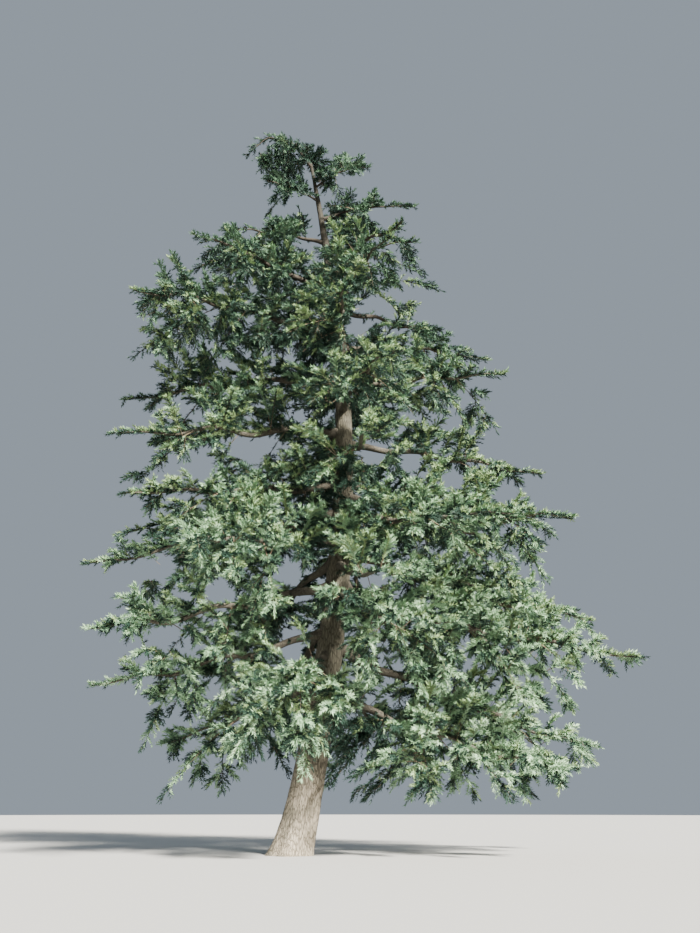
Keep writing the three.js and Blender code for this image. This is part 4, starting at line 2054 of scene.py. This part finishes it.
@dataclass
class FoliagePieces:
    """The twigs and the needles, joined by the band of the crown and by their tint."""

    limbs: list[Limb]
    sprays: Sprays
    needle: NeedleForm = NeedleForm()
    tint_rule: TintRule = TintRule()
    sheen: Pair = (0.62, 0.3)
    twig_sides: int = 3
    rib_rings: int = 4
    rib_tip: float = 0.3
    branchlet_start: float = 0.06
    rib_start: float = 0.3
    limb_start: float = 0.8
    most: int = 190_000
    seed: int = 97

    def nodes(self, band: Band) -> list[str]:
        """Returns the names of the foliage nodes in a band."""
        return [foliage_node(i) for i, limb in enumerate(self.limbs) if limb.band is band]

    def in_band(self, strands: Strands, band: Band) -> np.ndarray:
        """Returns a mask of the twigs in a band."""
        members = [i for i, limb in enumerate(self.limbs) if limb.band is band]
        return np.isin(strands.limb, members)

    def tints(self, strands: Strands, rng: np.random.Generator) -> np.ndarray:
        """Deals a tint out to every spray, by its place in the crown, with painted shade inside the
        crown and under the clumps.

        Args:
            strands: the twigs that carry the sprays.
            rng: the source of chance.

        Returns:
            The number of each one's tint.
        """
        rule, count = self.tint_rule, len(strands)
        frosted, glaucous, green, olive, deep = range(len(Tint))
        tips = strands.at(np.arange(count), np.ones(count))
        reach = np.array([limb.reach for limb in self.limbs])[strands.limb]
        heart = np.array([TRUNK.axis(z) for z in tips[:, 2]])
        outer = np.linalg.norm(tips[:, :2] - heart[:, :2], axis=1) / reach
        height = np.clip(tips[:, 2] / rule.tree_height, 0, 1)
        clump = np.clip(0.5 + rule.clump_depth * CLUMPS.field(tips), 0, 1)
        patch = np.clip(0.5 + rule.patch_depth * COLOURS.field(tips), 0, 1)
        chance = rule.loose * rng.random(count) + (1 - rule.loose) * clump
        pale = 0.5 * chance + 0.5 * patch + rule.low_pale * (rule.pale_height - height)
        limit = rising(rule.yellow, ramped(height, *rule.yellow_height))
        yellow = chance * rng.random(count) < limit
        yellow |= (patch > rule.yellow_patch) & (rng.random(count) < rule.yellow_share)
        tint = np.where(pale > rule.pale_from, np.where(yellow, olive, glaucous), green)
        tint[(pale > rule.frosted_from) & ~yellow] = frosted
        # Painted shade: sprays in the crown's heart and those ending under their clump's middle are
        # made darker, down to the darkest tint, and a few at random get the darkest tint too.
        inner = outer < rising(rule.inner, chance)
        under = tips[:, 2] - strands.core[:, 2] < rule.under_height
        under &= rng.random(count) < rule.under_share
        tint[under] = np.where(tint == frosted, glaucous, green)[under]
        shaded = chance < rising(rule.shaded, ramped(height, *rule.shaded_height))
        tint[inner | (under & shaded) | (rng.random(count) < rule.stray_shade)] = deep
        return tint

    def limb_tips(self) -> Strands:
        """Returns the outer ends of the limbs, which carry needles too."""
        tips = []
        for i, limb in enumerate(self.limbs):
            start = limb.at(self.limb_start * limb.end)
            run = limb.at(limb.end) - start
            tips.append((start, run.normalized(), run.length, 0.0, Limb.TIP, i, start))
        ends = Strands.of(tips)
        ends.core = ends.core - UPWARDS * self.sprays.core_drop
        return ends

    def build(self) -> None:
        """Builds the twigs and the needles of every band."""
        rng = np.random.default_rng(self.seed)
        wood = TWIG_WOOD.material()
        finishes = [
            PlainFinish(f"{tint.word} needles", tint.colour, *self.sheen).material()
            for tint in Tint
        ]
        for band in Band:
            thin, ribs, ends = (
                group.pick(self.in_band(group, band))
                for group in (self.sprays.branchlets, self.sprays.ribs, self.limb_tips())
            )
            rib_points, rib_faces = tubes(ribs, self.twig_sides, self.rib_rings, self.rib_tip)
            thin_points, thin_faces = tubes(thin, self.twig_sides, 1, 1.0)
            points = np.concatenate([rib_points, thin_points])
            faces = np.concatenate([rib_faces, thin_faces + len(rib_points)])
            twigs = placed(mesh_from_arrays(f"twigs_{band.word}", points, faces), wood, False)
            keep(twigs, Slot.BOUGH, self.nodes(band))
            bearing = Strands.joined([thin, ribs, ends])
            tint_of = self.tints(bearing, rng)
            for number, tint in enumerate(Tint):
                chosen = np.flatnonzero(tint_of == number)
                fine, coarse = chosen[chosen < len(thin)], chosen[chosen >= len(thin)]
                starts = ((fine, self.branchlet_start), (coarse, self.rib_start))
                corners = [self.needle.corners(bearing.pick(rows), rng, at) for rows, at in starts]
                self.needle_pieces(np.concatenate(corners), band, tint, finishes[number])

    def needle_pieces(
        self, corners: np.ndarray, band: Band, tint: Tint, finish: bpy.types.Material
    ) -> None:
        """Joins the needles of one tint in one band into pieces.

        Args:
            corners: the corners of each needle.
            band: the band.
            tint: the tint.
            finish: the tint's material.
        """
        parts = math.ceil(len(corners) / self.most)
        for part, chunk in enumerate(np.array_split(corners, parts)):
            name = f"needles_{band.word}_{tint.word}" + (f"_{part + 1}" if parts > 1 else "")
            triangles = np.arange(3 * len(chunk)).reshape(-1, 3)
            piece = placed(mesh_from_arrays(name, chunk.reshape(-1, 3), triangles), finish, False)
            keep(piece, Slot.NEEDLES, self.nodes(band))


@dataclass(frozen=True)
class Studio:
    """A pale floor, soft light and the camera at the photograph's place."""

    floor_radius: float = 90.0
    floor_sides: int = 96
    camera_place: Spot = FRONT
    camera_pitch: float = math.radians(110.5)
    lens: float = 35.03
    key_from: Spot = (0.48, -0.75, 0.62)
    key_power: float = 29.0
    key_colour: Colour = (1.0, 0.95, 0.86)
    key_softness: float = math.radians(9)
    fill_from: Spot = (-0.6, 0.5, 0.5)
    fill_power: float = 0.8
    fill_softness: float = math.radians(40)
    sky: Colour = (0.72, 0.84, 0.97)
    sky_power: float = 0.42

    def lamp(
        self, name: str, source: Spot, power: float, softness: float, colour: Colour
    ) -> None:
        """Adds a far, soft lamp.

        Args:
            name: its name.
            source: the direction that it shines from.
            power: its strength.
            softness: the angle that it spans.
            colour: its colour.
        """
        data = bpy.data.lights.new(name, "SUN")
        data.energy = power
        data.color = colour
        data.angle = softness
        lamp = bpy.data.objects.new(name, data)
        lamp.rotation_mode = "QUATERNION"
        lamp.rotation_quaternion = Vector(source).to_track_quat("Z", "Y")
        bpy.context.scene.collection.objects.link(lamp)

    def build(self) -> None:
        """Builds the floor, the light and the camera."""
        bm = bmesh.new()
        size = {"segments": self.floor_sides, "radius": self.floor_radius}
        bmesh.ops.create_circle(bm, cap_ends=True, **size)
        placed(merged("floor", [bm]), FLOOR_PAINT.material(), False)
        self.lamp("key light", self.key_from, self.key_power, self.key_softness, self.key_colour)
        self.lamp("fill light", self.fill_from, self.fill_power, self.fill_softness, self.sky)
        world = bpy.data.worlds.new("studio")
        world.use_nodes = True
        background = world.node_tree.nodes["Background"]
        background.inputs["Color"].default_value = (*self.sky, 1)
        background.inputs["Strength"].default_value = self.sky_power
        bpy.context.scene.world = world
        data = bpy.data.cameras.new("camera")
        data.lens = self.lens
        camera = bpy.data.objects.new("camera", data)
        camera.location = self.camera_place
        camera.rotation_euler = (self.camera_pitch, 0, 0)
        bpy.context.scene.collection.objects.link(camera)
        bpy.context.scene.camera = camera


def main() -> None:
    """Builds the tree and its studio."""
    logging.basicConfig(level=logging.INFO, format="%(name)s: %(message)s")
    limbs = Crown().limbs()
    Studio().build()
    TrunkPiece().build()
    LimbPieces(limbs).build()
    sprays = Sprays(limbs, Spaces(limbs))
    log.info("%d ribs and %d branchlets", len(sprays.ribs), len(sprays.branchlets))
    FoliagePieces(limbs, sprays).build()


if __name__ == "__main__":
    main()
